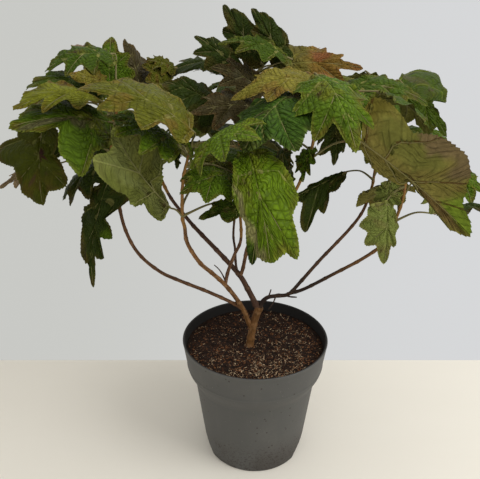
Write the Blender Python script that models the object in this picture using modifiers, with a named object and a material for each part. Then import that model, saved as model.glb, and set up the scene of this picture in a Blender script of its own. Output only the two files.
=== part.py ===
"""Oakleaf hydrangea in a five litre grower pot, as plain closed solids.

Metres, +Z up. The origin is the centre of the pot's flat underside, and the plant's fuller
side faces -Y. Places on the plant are written in centimetres, because its stems and leaves
were laid out by hand from those sizes.
"""
import math
from dataclasses import dataclass

import bpy
import bmesh
import numpy as np
from mathutils import Matrix, Vector
from mathutils.bvhtree import BVHTree

CM = 0.01
MM = 0.001
GAP = 0.3 * MM
WELD = 0.002 * MM

# ---- pot and compost --------------------------------------------------------------------------
POT_HEIGHT = 0.200
RIM_RADIUS = 0.1125
COLLAR_RADIUS = 0.1065
COLLAR_FOOT = 0.158
LEDGE_RADIUS = 0.0945
LEDGE_FOOT = 0.126
FOOT_RADIUS = 0.079
WALL = 1.8 * MM
LIP = 3.0 * MM
FLOOR = 3.0 * MM
HEEL_WIDTH = 11.5 * MM
HEEL_TOP = 24.0 * MM
RIM_ROUND = 1.0 * MM
POT_STEPS = 36
FLAT_HEADINGS = (-12, 184)
FLAT_DEPTH = 9.5 * MM
FLAT_HEIGHT = 22.0 * MM
COMPOST_TOP = 0.182
COMPOST_CROWN = 1.5 * MM
LEVEL_RADIUS = 0.045

# ---- limbs ------------------------------------------------------------------------------------
LIMB_SIDES = 2
STEM_SIDES = 1
STALK_SIDES = 0
STALK_RADII = (1.5 * MM, 1.5 * MM, 1.4 * MM, 0.7 * MM)
STEM_TIP_RADIUS = 1.6 * MM
JOINT_RUN = 4.0 * MM
ROOT_FLARE = 1.35
BELOW_CUT = 10.0 * MM

# ---- leaves -----------------------------------------------------------------------------------
LEAF_THICKNESS = 2.0 * MM
BLADE_CENTRE = 0.42
STALK_INTO_BLADE = 0.09
STALK_ARCH = 0.25
POINTED = 1.25
INNER_RING = 0.52
EDGE_CURL = 0.15
CURL_POWER = 2.2
FOLD_ROUND = 0.03
FLATTEST_SAG = 0.5
WAVE = 0.09

# Half outlines of a blade, from its tip round to its neck: degrees off the midrib and reach from
# the blade's centre, as a share of its length. Points and bays take turns.
HALVES = {
    "oak": ((0, .60), (24, .34), (43, .52), (66, .29), (88, .47), (112, .31), (136, .46), (180, .40)),
    "full": ((0, .58), (24, .42), (42, .53), (66, .39), (86, .49), (112, .40), (134, .47), (180, .40)),
    "long": ((0, .62), (24, .34), (40, .42), (66, .27), (92, .36), (120, .29), (143, .40), (180, .41)),
    "young": ((0, .60), (30, .30), (50, .38), (78, .24), (104, .30), (130, .25), (150, .35), (180, .42)),
    "blunt": ((0, .60), (38, .26), (84, .46), (120, .40), (150, .45), (180, .42)),
    "spiky": ((0, .60), (16, .32), (34, .46), (50, .28), (76, .46), (100, .27), (130, .42), (180, .40)),
    "wide": ((0, .58), (20, .40), (60, .46), (118, .33), (146, .62), (180, .42)),
    "toe": ((0, .60), (14, .46), (39, .53), (62, .30), (90, .40), (120, .30), (164, .45), (180, .42)),
    "torn": ((0, .60), (14, .30), (33, .36), (48, .18), (71, .32), (104, .15), (132, .62), (180, .38)),
    "eaten": ((0, .60), (9, .38), (22, .35), (60, .16), (100, .22), (130, .18), (150, .30), (180, .38)),
    "square": ((0, .58), (16, .48), (38, .62), (60, .42), (90, .46), (120, .38), (150, .44), (180, .40)),
    "five": ((0, .60), (28, .36), (52, .50), (84, .33), (118, .48), (180, .40)),
    "hood": ((0, .60), (14, .50), (34, .42), (66, .30), (92, .38), (120, .30), (143, .42), (180, .41)),
    "prow": ((0, .60), (24, .36), (43, .58), (66, .46), (90, .26), (120, .22), (150, .30), (180, .40)),
    "hook": ((0, .58), (12, .42), (40, .45), (90, .17), (160, .34), (180, .40)),
    "duck": ((0, .58), (55, .29), (92, .53), (127, .32), (145, .34), (180, .40)),
    "step": ((0, .60), (28, .24), (52, .42), (74, .53), (98, .34), (180, .40)),
    "flank": ((0, .58), (24, .38), (43, .40), (66, .33), (90, .28), (130, .22), (160, .24), (180, .40)),
    "axe": ((0, .58), (22, .46), (38, .72), (86, .27), (108, .33), (136, .26), (156, .47), (180, .42)),
    "spade": ((0, .58), (19, .54), (27, .66), (53, .38), (88, .42), (120, .38), (150, .44), (180, .40)),
    "crest": ((0, .60), (16, .32), (34, .46), (50, .30), (72, .50), (96, .40), (116, .64), (180, .40)),
    "hollow": ((0, .58), (18, .49), (27, .20), (50, .06), (74, .06), (100, .20), (138, .33), (180, .42)),
    "fork": ((0, .58), (18, .45), (49, .84), (56, .43), (69, .50), (92, .18), (149, .28), (180, .42)),
    "spur": ((0, .58), (12, .32), (18, .17), (52, .15), (59, .42), (84, .56), (112, .82), (180, .42)),
}


@dataclass(frozen=True)
class Leaf:
    """A leaf by where its stalk leaves the stem (0 to 1), its blade's neck and its tip, in cm."""
    at: float
    neck: tuple
    tip: tuple
    roll: float = 0.0
    sag: float = 30.0
    fold: float = 12.0
    halves: tuple = ("oak", "oak")
    width: tuple = (1.0, 1.0)


@dataclass(frozen=True)
class Whorls:
    """Leaves that a stem bears by rule: pairs at right angles up it, kept inside a box in cm."""
    seed: int
    low: tuple
    high: tuple
    pairs: int = 5


@dataclass(frozen=True)
class Bough:
    """A limb by its axis in cm and its radii in mm; it grows out of the limb named parent."""
    name: str
    parent: str
    points: tuple
    radii: tuple
    bark: tuple = (0.16, 0.085, 0.045)


@dataclass(frozen=True)
class Mass:
    """A mass of leaves: the bough it grows on from, its stem in cm, and its leaves."""
    name: str
    bough: str
    stem: tuple
    colour: tuple
    leaves: tuple
    whorls: Whorls


TAN = (0.30, 0.17, 0.07)
DARK = (0.10, 0.055, 0.035)
BOUGHS = (
    Bough("trunk", "", ((-.8, 0, 18.23), (-.5, 0, 20.5), (0, 0, 23), (.6, 0, 25)), (5.4, 6.0), TAN),
    Bough("bough_centre_left", "trunk",
          ((-.4, -.1, 20.6), (-1.1, -.3, 22.6), (-1.8, -1, 25), (-3.2, -2, 28), (-4.6, -2.6, 30.2),
           (-6.2, -4, 32.6), (-7.8, -5.6, 35), (-9.2, -7, 38.4), (-9.4, -7.8, 41)), (3.8, 2.4), TAN),
    Bough("bough_left", "bough_centre_left",
          ((-1.8, -1, 25), (-3.2, -1.2, 26.2), (-7, -1.6, 28.4), (-11.2, -2, 30.5), (-14, -2, 32),
           (-16.8, -2, 34.8), (-18.4, -2, 38.6), (-19, -2, 43.2)), (2.7, 2.3)),
    Bough("bough_centre_top", "bough_centre_left",
          ((-4.5, -2.6, 30), (-4.1, -1.4, 31.6), (-3.2, 0, 33.6), (-2.2, 1, 36)), (2.6, 2.2)),
    Bough("bough_left_back", "trunk",
          ((.5, 0, 24.4), (-.3, 0, 26.2), (-1.2, .6, 27.8), (-2.5, 1, 30), (-5.6, 3, 32.8),
           (-8.2, 4.6, 35), (-10.4, 6, 37), (-13.6, 8.2, 40.6)), (4.8, 2.5), DARK),
    Bough("bough_centre_right", "bough_left_back",
          ((-2.3, .9, 29.7), (-1.9, .7, 31.2), (-1.6, 0, 33.2), (-1.2, -.8, 35.4), (.2, -1.9, 38.6),
           (3, -2.8, 41.8)), (2.8, 2.4)),
    Bough("bough_back", "bough_left_back",
          ((-2.7, 1.2, 30.1), (-3, 2.2, 31.3), (-3.1, 4, 32.8), (-3.4, 7, 34.2), (-3.1, 10, 37.5)),
          (1.9, 1.8), DARK),
    Bough("bough_right", "trunk",
          ((.6, 0, 24.3), (1, 0, 25.7), (1.8, 0, 26.6), (3.2, 0, 26.9), (5, 0, 27.2), (6.8, 1, 28.7),
           (9.8, 2, 32), (14, 3.6, 36.1), (16.2, 4.7, 38.8), (17.3, 5.2, 42.2)), (3.4, 2.1), DARK),
    Bough("bough_far_right", "bough_right",
          ((4.8, 0, 27.2), (7.2, -1, 28.6), (11, -2.6, 31.8), (14.6, -3.6, 34.6), (17, -4.5, 37.2),
           (17.8, -5, 39.8)), (2.6, 2.2)),
    Bough("dead_twig_left", "bough_centre_left",
          ((-4.3, -2.5, 29.9), (-4.7, -2.5, 31.3), (-5.3, -2.6, 32.5), (-6, -2.7, 33.3)), (1.1, .7), DARK),
    Bough("dead_twig_near", "bough_right",
          ((1.9, 0, 26.6), (2.1, -.2, 27.3), (2.3, -.3, 28.1)), (1.3, .9), DARK),
    Bough("dead_twig_low", "bough_right",
          ((3.1, 0, 26.9), (2.7, -.4, 26), (2, -.8, 25)), (1.2, .7), TAN),
    Bough("dead_twig_far", "bough_right",
          ((4.2, 0, 27.1), (5, -.8, 27.2), (6.1, -1.2, 27.3)), (1.4, 1.0), DARK),
)

OAK = ("oak", "oak")
FULL = ("full", "full")
LONG = ("long", "long")
YOUNG = ("young", "young")

MASSES = (
    Mass("leaves_left", "bough_left",
         ((-19, -2, 46), (-19.3, -2, 49.4), (-18.8, -2, 53), (-18, -2, 54.8)), (0.10, 0.17, 0.03), (
             Leaf(.50, (-26, -6, 54.5), (-26.5, -10, 44.5), 0, 25, 3, ("hook", "duck"), (1., 1.12)),
             Leaf(.35, (-27, 1, 47.2), (-34.5, -3, 45.2), 50, 20, 12, OAK, (.45, .5)),
             Leaf(.90, (-19, -4, 56), (-26.8, -12, 56.5), -25, 50, 12, ("oak", "hood"), (.45, 1.)),
             Leaf(.75, (-18, -4, 53.5), (-27.5, -12, 54.5), -35, 35, 12, ("step", "hood"), (1.15, .9)),
             Leaf(1.0, (-18.3, 1, 61.3), (-26.2, -3, 59.9), -25, 40, 12, OAK, (.8, 1.1)),
             Leaf(1.0, (-20, 3, 55.5), (-20, 6, 63.5), 0, 10, 12, LONG, (1.1, 1.1)),
             Leaf(.95, (-19.5, 0, 57), (-28.5, -4, 58.3), -20, 40, 12, ("oak", "hood"), (.8, .9)),
             Leaf(1.0, (-18.5, -2, 57.5), (-22.5, -5, 59.5), -50, 30, 12, YOUNG, (1.2, 1.2)),
             Leaf(.10, (-19.5, -2, 46.5), (-22.8, -7, 32), -10, 30, 12, ("torn", "eaten"), (.58, .75)),
             Leaf(.30, (-20, 0, 47.5), (-27.8, 0, 42.6), -20, 30, 12, OAK, (1.1, 1.6)),
         ), Whorls(11, (-36, -3, 42), (-13, 18, 58))),
    Mass("leaves_left_back", "bough_left_back",
         ((-16, 10, 46.5), (-16.6, 10, 52), (-16.4, 9, 55)), (0.12, 0.16, 0.03), (
             Leaf(1.0, (-16.5, 7, 55), (-18.5, 9, 63), 10, 20, 12, ("oak", "hood"), (1.1, 1.4)),
             Leaf(1.0, (-12.5, 6, 55.5), (-15.5, 9, 61), -10, 30, 12, OAK, (.7, .7)),
             Leaf(.40, (-17.5, 8, 49.7), (-25, 7.5, 46.7), -40, 40, 12, OAK, (.8, .8)),
             Leaf(1.0, (-11.5, 9, 59), (-15.5, 8, 60.5), -30, 20, 12, OAK, (1.2, 1.2)),
         ), Whorls(12, (-34, 4, 39), (-4, 34, 61), 4)),
    Mass("leaves_centre_left", "bough_centre_left",
         ((-9.6, -8, 42.6), (-9.2, -9, 47.6), (-8.2, -9, 51.2)), (0.17, 0.19, 0.04), (
             Leaf(1.0, (-7.5, -9.5, 53.2), (-20, -11, 58.5), -25, 50, 12, OAK, (.62, 1.1)),
             Leaf(.90, (-9.3, -8, 51), (-17.7, -9, 55.8), -10, 30, 12, OAK, (1.2, 1.2)),
             Leaf(.15, (-11, -9, 44), (-16.5, -12, 54.4), 115, 30, 12, ("flank", "axe"), (1.1, 1.)),
             Leaf(.90, (-9.5, -6, 51), (-10.5, -6, 48), -40, 30, 12, YOUNG, (.8, .8)),
             Leaf(1.0, (-7, -10, 51.5), (-.5, -16.5, 54.5), 25, 40, 12, OAK, (1.15, 1.15)),
             Leaf(.95, (-8, -10, 50), (-9, -10, 53.5), 0, 30, 12, YOUNG, (.9, .9)),
             Leaf(.90, (-1.5, -10, 51.5), (1, -18, 40.5), 10, 50, 12, ("spade", "spade"), (.76, .48)),
             Leaf(.80, (-2.5, -9, 48), (-9, -14, 47.5), -20, 50, 12, ("full", "oak"), (.9, 1.)),
             Leaf(.15, (-1.6, -7, 43.6), (-7.4, -9.5, 43), -40, 20, 12, ("blunt", "young"), (.6, .8)),
             Leaf(.80, (-7.5, -7, 49.5), (-2, -8, 47), 30, 30, 12, OAK, (.8, .8)),
         ), Whorls(13, (-20, -9, 42), (2, 4, 57))),
    Mass("leaves_centre_top", "bough_centre_top",
         ((-2.4, 3, 41.2), (-2, 4.6, 49.6), (-1, 5, 56.4), (-.2, 5, 58.6)), (0.08, 0.13, 0.03), (
             Leaf(1.0, (-2.5, 5, 59), (-8.6, 8, 63.6), -40, 20, 12, OAK, (.8, .6)),
             Leaf(.70, (-4.5, 4, 53.5), (-13, 4, 58), -45, 40, 12, FULL, (1.2, .5)),
             Leaf(.70, (.5, 1.5, 54.5), (-8.5, -2.5, 54.5), -40, 40, 12, OAK, (.8, .8)),
             Leaf(1.0, (1, 6, 59.5), (-4.6, 9, 67.4), -70, 20, 12, ("long", "hood"), (.8, .65)),
             Leaf(1.0, (4, 4, 59.5), (-.7, 6, 67), -60, 20, 12, ("long", "hood"), (.7, .65)),
             Leaf(.95, (4.5, 3, 60.5), (-5, 1, 63), -30, 40, 12, OAK, (.6, .6)),
             Leaf(.85, (1, 2, 56.5), (-6, 1, 60), -50, 40, 12, OAK, (.8, .8)),
             Leaf(1.0, (2, 6, 59.7), (14.5, 6, 59.4), 45, 20, 12, ("crest", "spiky"), (.65, .9)),
             Leaf(.90, (-4.5, 9, 58), (-11.5, 15, 60), -10, 40, 12, ("prow", "oak"), (1.15, .9)),
         ), Whorls(14, (-16, 2, 44), (16, 22, 62))),
    Mass("leaves_centre_right", "bough_centre_right",
         ((4.4, -3.6, 43.6), (5.6, -4, 46.2), (6.8, -4, 50.4), (7.2, -4, 56.2)), (0.10, 0.20, 0.04), (
             Leaf(.90, (6, -4, 57.5), (-2, -11.5, 51.5), 0, 50, 12, FULL, (1.2, 1.2)),
             Leaf(1.0, (6.5, -5, 59.5), (10, -15, 52.5), 10, 60, 25, OAK, (.85, .85)),
             Leaf(.50, (12, -8, 52), (23, -17, 43.5), -95, 20, 12, ("hollow", "wide"), (.45, .95)),
             Leaf(1.0, (8.5, -2, 57.5), (-3, -6, 57), -30, 60, 12, LONG, (.7, .7)),
             Leaf(.50, (7, -4, 50.5), (5.5, -6, 46.5), 0, 30, 12, OAK, (.5, 1.)),
             Leaf(.60, (9.5, 0, 55), (10.5, -2, 47.5), 0, 30, 12, OAK, (.55, .9)),
             Leaf(.10, (2, -6, 45.5), (-.5, -8, 50), -50, 30, 12, YOUNG, (.8, .8)),
             Leaf(.10, (4.5, -2, 43), (1.5, -3, 49.5), -60, 30, 12, OAK, (.9, .9)),
             Leaf(1.0, (11.5, -1, 57.5), (14.5, -5, 51.5), 0, 40, 12, OAK, (.8, .8)),
             Leaf(.60, (4, 1.5, 49.3), (2.8, 1, 44.6), 0, 30, 12, OAK, (1.1, 1.2)),
         ), Whorls(15, (0, -9, 42), (24, 8, 58))),
    Mass("leaves_right", "bough_right",
         ((17.6, 5.6, 44), (18, 6.6, 47.8), (18, 7.4, 53.4), (18.2, 7.4, 55.2)), (0.13, 0.17, 0.03), (
             Leaf(.10, (13, 3, 45.4), (4.6, 0, 42.2), -60, 8, 12, ("fork", "young"), (.9, .2)),
             Leaf(.90, (11, 4, 56.7), (23, 2, 55.2), 30, 50, 12, OAK, (.6, .9)),
             Leaf(1.0, (20.3, 8, 57.6), (27.2, 4, 50.3), 30, 20, 12, ("spur", "full"), (1.15, .6)),
             Leaf(.50, (24.5, 3, 46.3), (33.3, 2, 42.8), 40, 40, 12, OAK, (.6, 1.)),
         ), Whorls(16, (4, 3, 38), (36, 32, 59), 4)),
    Mass("leaves_far_right", "bough_far_right",
         ((18.4, -5.6, 42.6), (18.6, -6, 45.4), (18.6, -5.6, 48.4)), (0.12, 0.18, 0.05), (
             Leaf(.90, (17, -5, 46.5), (16.5, -6, 42), 0, 30, 12, YOUNG, (1.3, 1.3)),
             Leaf(.70, (16.5, -6, 44), (16, -10, 37), 0, 30, 12, LONG, (.5, 1.15)),
             Leaf(.50, (20.5, -5, 47), (22.5, -7, 42.5), 0, 30, 12, YOUNG, (1.1, 1.1)),
             Leaf(1.0, (19.5, -3, 50), (27.5, -4, 46), 30, 40, 12, OAK, (.8, .8)),
         ), Whorls(17, (12, -9, 37), (34, 6, 50))),
    Mass("leaves_back", "bough_back",
         ((-3, 12, 40), (-2.4, 15, 47.6), (-1.8, 15, 51.6)), (0.09, 0.16, 0.03), (
             Leaf(.60, (-3, 20, 48), (-10, 30, 45.5), 0, 50),
             Leaf(.70, (0, 19, 49.5), (8.5, 27, 47), 0, 50),
             Leaf(.90, (-2.5, 18, 54.5), (-3.5, 29, 55), 0, 50),
             Leaf(1.0, (1.5, 14, 55), (11, 19, 55), 0, 50),
             Leaf(.90, (-5.5, 17, 53.5), (-13, 26, 50.5), 0, 50),
             Leaf(.30, (-2.5, 14, 46), (4, 14, 43), 30, 50, 12, OAK, (.8, .8)),
         ), Whorls(18, (-18, 10, 36), (18, 35, 58), 4)),
)


# ---- scene and material helpers ---------------------------------------------------------------
def clear_scene():
    for obj in list(bpy.data.objects):
        bpy.data.objects.remove(obj, do_unlink=True)


def new_collection(name):
    collection = bpy.data.collections.new(name)
    bpy.context.scene.collection.children.link(collection)
    return collection


def material(name, colour, roughness=0.6):
    finish = bpy.data.materials.new(name)
    finish.use_nodes = True
    shader = finish.node_tree.nodes["Principled BSDF"]
    shader.inputs["Base Color"].default_value = (*colour, 1.0)
    shader.inputs["Roughness"].default_value = roughness
    shader.inputs["Metallic"].default_value = 0.0
    return finish


def mesh_object(name, mesh, collection):
    obj = bpy.data.objects.new(name, mesh)
    collection.objects.link(obj)
    return obj


def bake(obj):
    """Replace an object's mesh by what its modifiers make of it."""
    bpy.context.view_layer.update()
    graph = bpy.context.evaluated_depsgraph_get()
    mesh = bpy.data.meshes.new_from_object(obj.evaluated_get(graph))
    obj.modifiers.clear()
    obj.data = mesh


def curve_mesh(obj, name, collection):
    """Turn a curve object into a welded mesh object and remove the curve."""
    bpy.context.view_layer.update()
    graph = bpy.context.evaluated_depsgraph_get()
    mesh = bpy.data.meshes.new_from_object(obj.evaluated_get(graph))
    shell = bmesh.new()
    shell.from_mesh(mesh)
    bmesh.ops.remove_doubles(shell, verts=shell.verts, dist=1e-6)
    bmesh.ops.recalc_face_normals(shell, faces=shell.faces)
    shell.to_mesh(mesh)
    shell.free()
    solid = mesh_object(name, mesh, collection)
    solid.matrix_world = obj.matrix_world.copy()
    bpy.data.objects.remove(obj, do_unlink=True)
    return solid


def tube(name, points, radii, sides, collection):
    """A round limb along points in metres, its radius running from radii[0] to radii[-1]."""
    data = bpy.data.curves.new(name, "CURVE")
    data.dimensions = "3D"
    data.bevel_depth = MM
    data.bevel_resolution = sides
    data.use_fill_caps = True
    spline = data.splines.new("POLY")
    spline.points.add(len(points) - 1)
    for knot, place, radius in zip(spline.points, points, spread(radii, len(points))):
        knot.co = (*place, 1.0)
        knot.radius = radius / MM
    curve = bpy.data.objects.new(f"{name}_axis", data)
    collection.objects.link(curve)
    return curve_mesh(curve, name, collection)


def spread(values, count):
    """Values read evenly at count places from first to last."""
    return np.interp(np.linspace(0, 1, count), np.linspace(0, 1, len(values)), values)


def shells(shell):
    """The separate bodies in a bmesh, as lists of faces."""
    unseen = set(shell.faces)
    found = []
    while unseen:
        front = [unseen.pop()]
        body = list(front)
        while front:
            for edge in front.pop().edges:
                for face in edge.link_faces:
                    if face in unseen:
                        unseen.remove(face)
                        body.append(face)
                        front.append(face)
        found.append(body)
    return found


def one_body(obj):
    """Keep an object's main shell: sealed hollows are filled and loose scraps dropped."""
    shell = bmesh.new()
    shell.from_mesh(obj.data)
    bmesh.ops.remove_doubles(shell, verts=shell.verts, dist=WELD)
    bmesh.ops.dissolve_degenerate(shell, edges=shell.edges, dist=WELD)
    bodies = sorted(shells(shell), key=len, reverse=True)
    loose = [face for body in bodies[1:] for face in body]
    bmesh.ops.delete(shell, geom=loose, context="FACES")
    shell.to_mesh(obj.data)
    shell.free()


def cut(obj, cutters):
    """Take the cutters away from an object and remove them."""
    for cutter in cutters:
        step = obj.modifiers.new("cut", "BOOLEAN")
        step.operation = "DIFFERENCE"
        step.solver = "EXACT"
        step.object = cutter
        bake(obj)
        bpy.data.objects.remove(cutter, do_unlink=True)
    one_body(obj)


# ---- pot and compost --------------------------------------------------------------------------
def turned(name, profile, collection):
    """Revolve (radius, height) points, which run down the outer side, about Z."""
    data = bpy.data.meshes.new(name)
    data.from_pydata([(r, 0, z) for r, z in profile], [(i, i + 1) for i in range(len(profile) - 1)], [])
    obj = mesh_object(name, data, collection)
    screw = obj.modifiers.new("turn", "SCREW")
    screw.steps = POT_STEPS
    screw.render_steps = POT_STEPS
    screw.use_merge_vertices = True
    screw.merge_threshold = 0.00001
    bake(obj)
    return obj


def pot_outside():
    """The pot's outer profile, rim to foot: collar, rounded ledge, tapering body."""
    ledge = [(COLLAR_RADIUS + (LEDGE_RADIUS - COLLAR_RADIUS) * (1 - math.cos(t * math.pi)) / 2,
              COLLAR_FOOT + (LEDGE_FOOT - COLLAR_FOOT) * t) for t in (0.0, 0.35, 0.65, 1.0)]
    return [(RIM_RADIUS, POT_HEIGHT - RIM_ROUND), *ledge, (FOOT_RADIUS, 0.0)]


def pot_inside(clear=0.0):
    """The pot's inner profile, foot to rim, drawn in by clear on every side."""
    outside = pot_outside()
    heel = [(FOOT_RADIUS - HEEL_WIDTH - clear, FLOOR + clear), (FOOT_RADIUS - clear, HEEL_TOP)]
    walls = [(r - WALL - clear, z) for r, z in reversed(outside[1:-1])]
    return [*heel, *walls, (RIM_RADIUS - LIP - clear, POT_HEIGHT - RIM_ROUND)]


def make_pot(parts, cutters):
    inside = pot_inside()
    lip = [(RIM_RADIUS - LIP + RIM_ROUND, POT_HEIGHT), (RIM_RADIUS - RIM_ROUND, POT_HEIGHT)]
    pot = turned("pot", [(0.0, FLOOR), *inside, *lip, *pot_outside(), (0.0, 0.0)], parts)
    long, high = 0.12, 0.04
    flats = []
    for k, heading in enumerate(FLAT_HEADINGS):
        bpy.ops.mesh.primitive_cube_add(size=1.0)
        flat = bpy.context.object
        flat.name = f"foot_flat_{k}"
        for owner in list(flat.users_collection):
            owner.objects.unlink(flat)
        cutters.objects.link(flat)
        flat.hide_render = True
        flat.display_type = "WIRE"
        turn = Matrix.Rotation(math.radians(heading), 4, "Z")
        lean = Matrix.Rotation(math.atan2(HEEL_WIDTH, FLAT_HEIGHT), 4, "Y")
        place = Matrix.Translation((FOOT_RADIUS - FLAT_DEPTH, 0, 0)) @ lean
        flat.matrix_world = (turn @ place @ Matrix.Translation((high / 2, 0, 0))
                             @ Matrix.Diagonal((high, long, long, 1)))
        flats.append(flat)
    bpy.context.view_layer.update()
    cut(pot, flats)
    pot.data.materials.append(material("anthracite_plastic", (0.075, 0.078, 0.08), 0.5))
    shade(pot, 30)
    return pot


def make_compost(parts):
    """The fill of the pot: flat where the stem stands, a little lower at the wall."""
    walls = []
    inside = pot_inside(GAP)
    for (low_r, low_z), (high_r, high_z) in zip(inside, inside[1:]):
        walls.append((low_r, low_z))
        edge = COMPOST_TOP - COMPOST_CROWN
        if low_z < edge < high_z:
            share = (edge - low_z) / (high_z - low_z)
            walls.append((low_r + (high_r - low_r) * share, edge))
            break
    top = [(0.0, COMPOST_TOP), (LEVEL_RADIUS, COMPOST_TOP)]
    compost = turned("compost", [*top, *reversed(walls), (0.0, FLOOR + GAP)], parts)
    one_body(compost)
    compost.data.materials.append(material("moist_compost", (0.045, 0.025, 0.015), 0.95))
    return compost


def shade(obj, degrees):
    obj.data.shade_smooth()
    obj.data.set_sharp_from_angle(angle=math.radians(degrees))


# ---- limbs ------------------------------------------------------------------------------------
def metres(points):
    return [np.array(p, float) * CM for p in points]


def unit(vector):
    return vector / np.linalg.norm(vector)


def ends_at_mass(bough):
    """The mass that grows on from a bough's tip, or None."""
    return next((mass for mass in MASSES if mass.bough == bough.name), None)


def joint_direction(bough, mass):
    """The way the axis runs where a bough ends and its mass's stem begins."""
    return unit(np.array(mass.stem[0], float) - np.array(bough.points[-2], float))


def bough_axis(bough):
    """A bough's axis in metres, straight for a short run before the joint with its mass."""
    points = metres(bough.points)
    mass = ends_at_mass(bough)
    if mass:
        points.insert(-1, points[-1] - joint_direction(bough, mass) * JOINT_RUN)
    return points


def stem_axis(mass):
    """A mass's stem axis in metres, from 0.3 mm past its bough's tip."""
    bough = next(b for b in BOUGHS if b.name == mass.bough)
    tip = metres(bough.points)[-1]
    way = joint_direction(bough, mass)
    return [tip + way * GAP, tip + way * (GAP + JOINT_RUN), *metres(mass.stem)]


def swollen(bough, parts):
    """A bough 0.3 mm fatter and longer all over, to cut its neighbours clear of it."""
    points = bough_axis(bough)
    points[-1] = points[-1] + unit(points[-1] - points[-2]) * GAP
    radii = [r * MM + GAP for r in bough.radii]
    return tube("clearance", points, radii, LIMB_SIDES, parts)


def make_bough(bough, earlier, parts):
    points = bough_axis(bough)
    if bough.name == "trunk":
        points.insert(0, points[0] - unit(points[1] - points[0]) * BELOW_CUT)
    radii = [r * MM for r in bough.radii]
    limb = tube(bough.name, points, radii, LIMB_SIDES, parts)
    if bough.name == "trunk":
        flat_foot(limb)
    neighbours = [b for b in earlier if b.name == bough.parent or (b.parent and b.parent == bough.parent)]
    cut(limb, [swollen(b, parts) for b in neighbours])
    limb.data.materials.append(material(f"bark_{bough.name}", bough.bark, 0.8))
    shade(limb, 50)
    return limb


def flat_foot(limb):
    """Cut the trunk level just above the compost and widen its foot into the root flare."""
    level = COMPOST_TOP + GAP
    shell = bmesh.new()
    shell.from_mesh(limb.data)
    cut_geometry = bmesh.ops.bisect_plane(
        shell, geom=[*shell.verts, *shell.edges, *shell.faces], plane_co=(0, 0, level),
        plane_no=(0, 0, 1), clear_inner=True)
    rim = [edge for edge in cut_geometry["geom_cut"] if isinstance(edge, bmesh.types.BMEdge)]
    bmesh.ops.contextual_create(shell, geom=rim)
    foot = [vert for vert in shell.verts if vert.co.z < level + 0.1 * MM]
    middle = sum((vert.co for vert in foot), Vector()) / len(foot)
    for vert in foot:
        vert.co.x = middle.x + (vert.co.x - middle.x) * ROOT_FLARE
        vert.co.y = middle.y + (vert.co.y - middle.y) * ROOT_FLARE
    bmesh.ops.recalc_face_normals(shell, faces=shell.faces)
    shell.to_mesh(limb.data)
    shell.free()


# ---- leaves -----------------------------------------------------------------------------------
def reach_of(half, degrees):
    """How far a half outline reaches from the blade's centre, at angles off the midrib."""
    knots = HALVES[half]
    reach = np.full(np.shape(degrees), knots[-1][1], float)
    for (start, first), (end, last) in zip(knots, knots[1:]):
        share = np.clip((degrees - start) / (end - start), 0, 1)
        share = share if first > last else 1 - share
        low, high = min(first, last), max(first, last)
        lobe = low + (high - low) * (1 - share) ** POINTED
        reach = np.where((degrees >= start) & (degrees <= end), lobe, reach)
    return reach


def bend(flat, leaf):
    """Bend a flat blade: halves folded down, edge curled and waved, midrib sagging in an arc."""
    phase = leaf.neck[0] + 2 * leaf.tip[1]
    x, y = flat.T
    out = np.hypot(x - BLADE_CENTRE, y)
    fold = math.radians(leaf.fold)
    rise = -(np.sqrt(y * y + FOLD_ROUND ** 2) - FOLD_ROUND) * math.sin(fold)
    y = y * (1 - (1 - math.cos(fold)) * np.minimum(1, np.abs(y) / 0.05))
    rise = rise - EDGE_CURL * (out ** CURL_POWER - BLADE_CENTRE ** CURL_POWER)
    rise = rise + WAVE * out ** 2 * np.sin(3 * np.arctan2(y, x - BLADE_CENTRE) + phase)
    sag = math.radians(max(leaf.sag, FLATTEST_SAG))
    turned_by = sag * np.clip(x, -0.3, 1.3)
    return np.stack([np.sin(turned_by) / sag + rise * np.sin(turned_by), y,
                     (np.cos(turned_by) - 1) / sag + rise * np.cos(turned_by)], 1)


def blade_axes(leaf):
    """Unit axes of a blade: along its chord, across it, and out of its upper side."""
    along = unit(np.array(leaf.tip, float) - np.array(leaf.neck, float))
    level = np.array([-along[1], along[0], 0.0])
    level = unit(level) if np.linalg.norm(level) > 1e-6 else np.array([0.0, 1.0, 0.0])
    roll = math.radians(leaf.roll)
    across = level * math.cos(roll) + np.cross(along, level) * math.sin(roll)
    return np.stack([along, across, np.cross(along, across)])


def laid(flat, leaf):
    """Points of a blade of unit length, bent and laid from the leaf's neck to its tip, in metres."""
    bent = bend(flat, leaf)
    sag = math.radians(max(leaf.sag, FLATTEST_SAG))
    chord = np.array([math.sin(sag), math.cos(sag) - 1]) / sag
    tilt = math.atan2(-chord[1], chord[0])
    level = np.array([[math.cos(tilt), 0, -math.sin(tilt)], [0, 1, 0], [math.sin(tilt), 0, math.cos(tilt)]])
    size = np.linalg.norm(np.subtract(leaf.tip, leaf.neck)) / np.linalg.norm(chord)
    return ((bent @ level.T) * size @ blade_axes(leaf) + np.array(leaf.neck, float)) * CM


def flat_ring(leaf, angles, share):
    """Points of the flat blade at a share of its reach, for angles from -180 to 180 degrees."""
    upper = angles >= 0
    reach = np.where(upper, reach_of(leaf.halves[0], np.abs(angles)),
                     reach_of(leaf.halves[1], np.abs(angles)))
    width = np.where(upper, leaf.width[0], leaf.width[1])
    turn = np.radians(angles)
    return np.stack([BLADE_CENTRE + share * reach * np.cos(turn),
                     share * reach * np.sin(turn) * width], 1)


def corner_angles(leaf):
    """The angles of a blade's points and bays, round from its tip."""
    first = [a for a, _ in HALVES[leaf.halves[0]]]
    second = [-a for a, _ in reversed(HALVES[leaf.halves[1]][1:-1])]
    return np.array(first + second, float)


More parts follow.
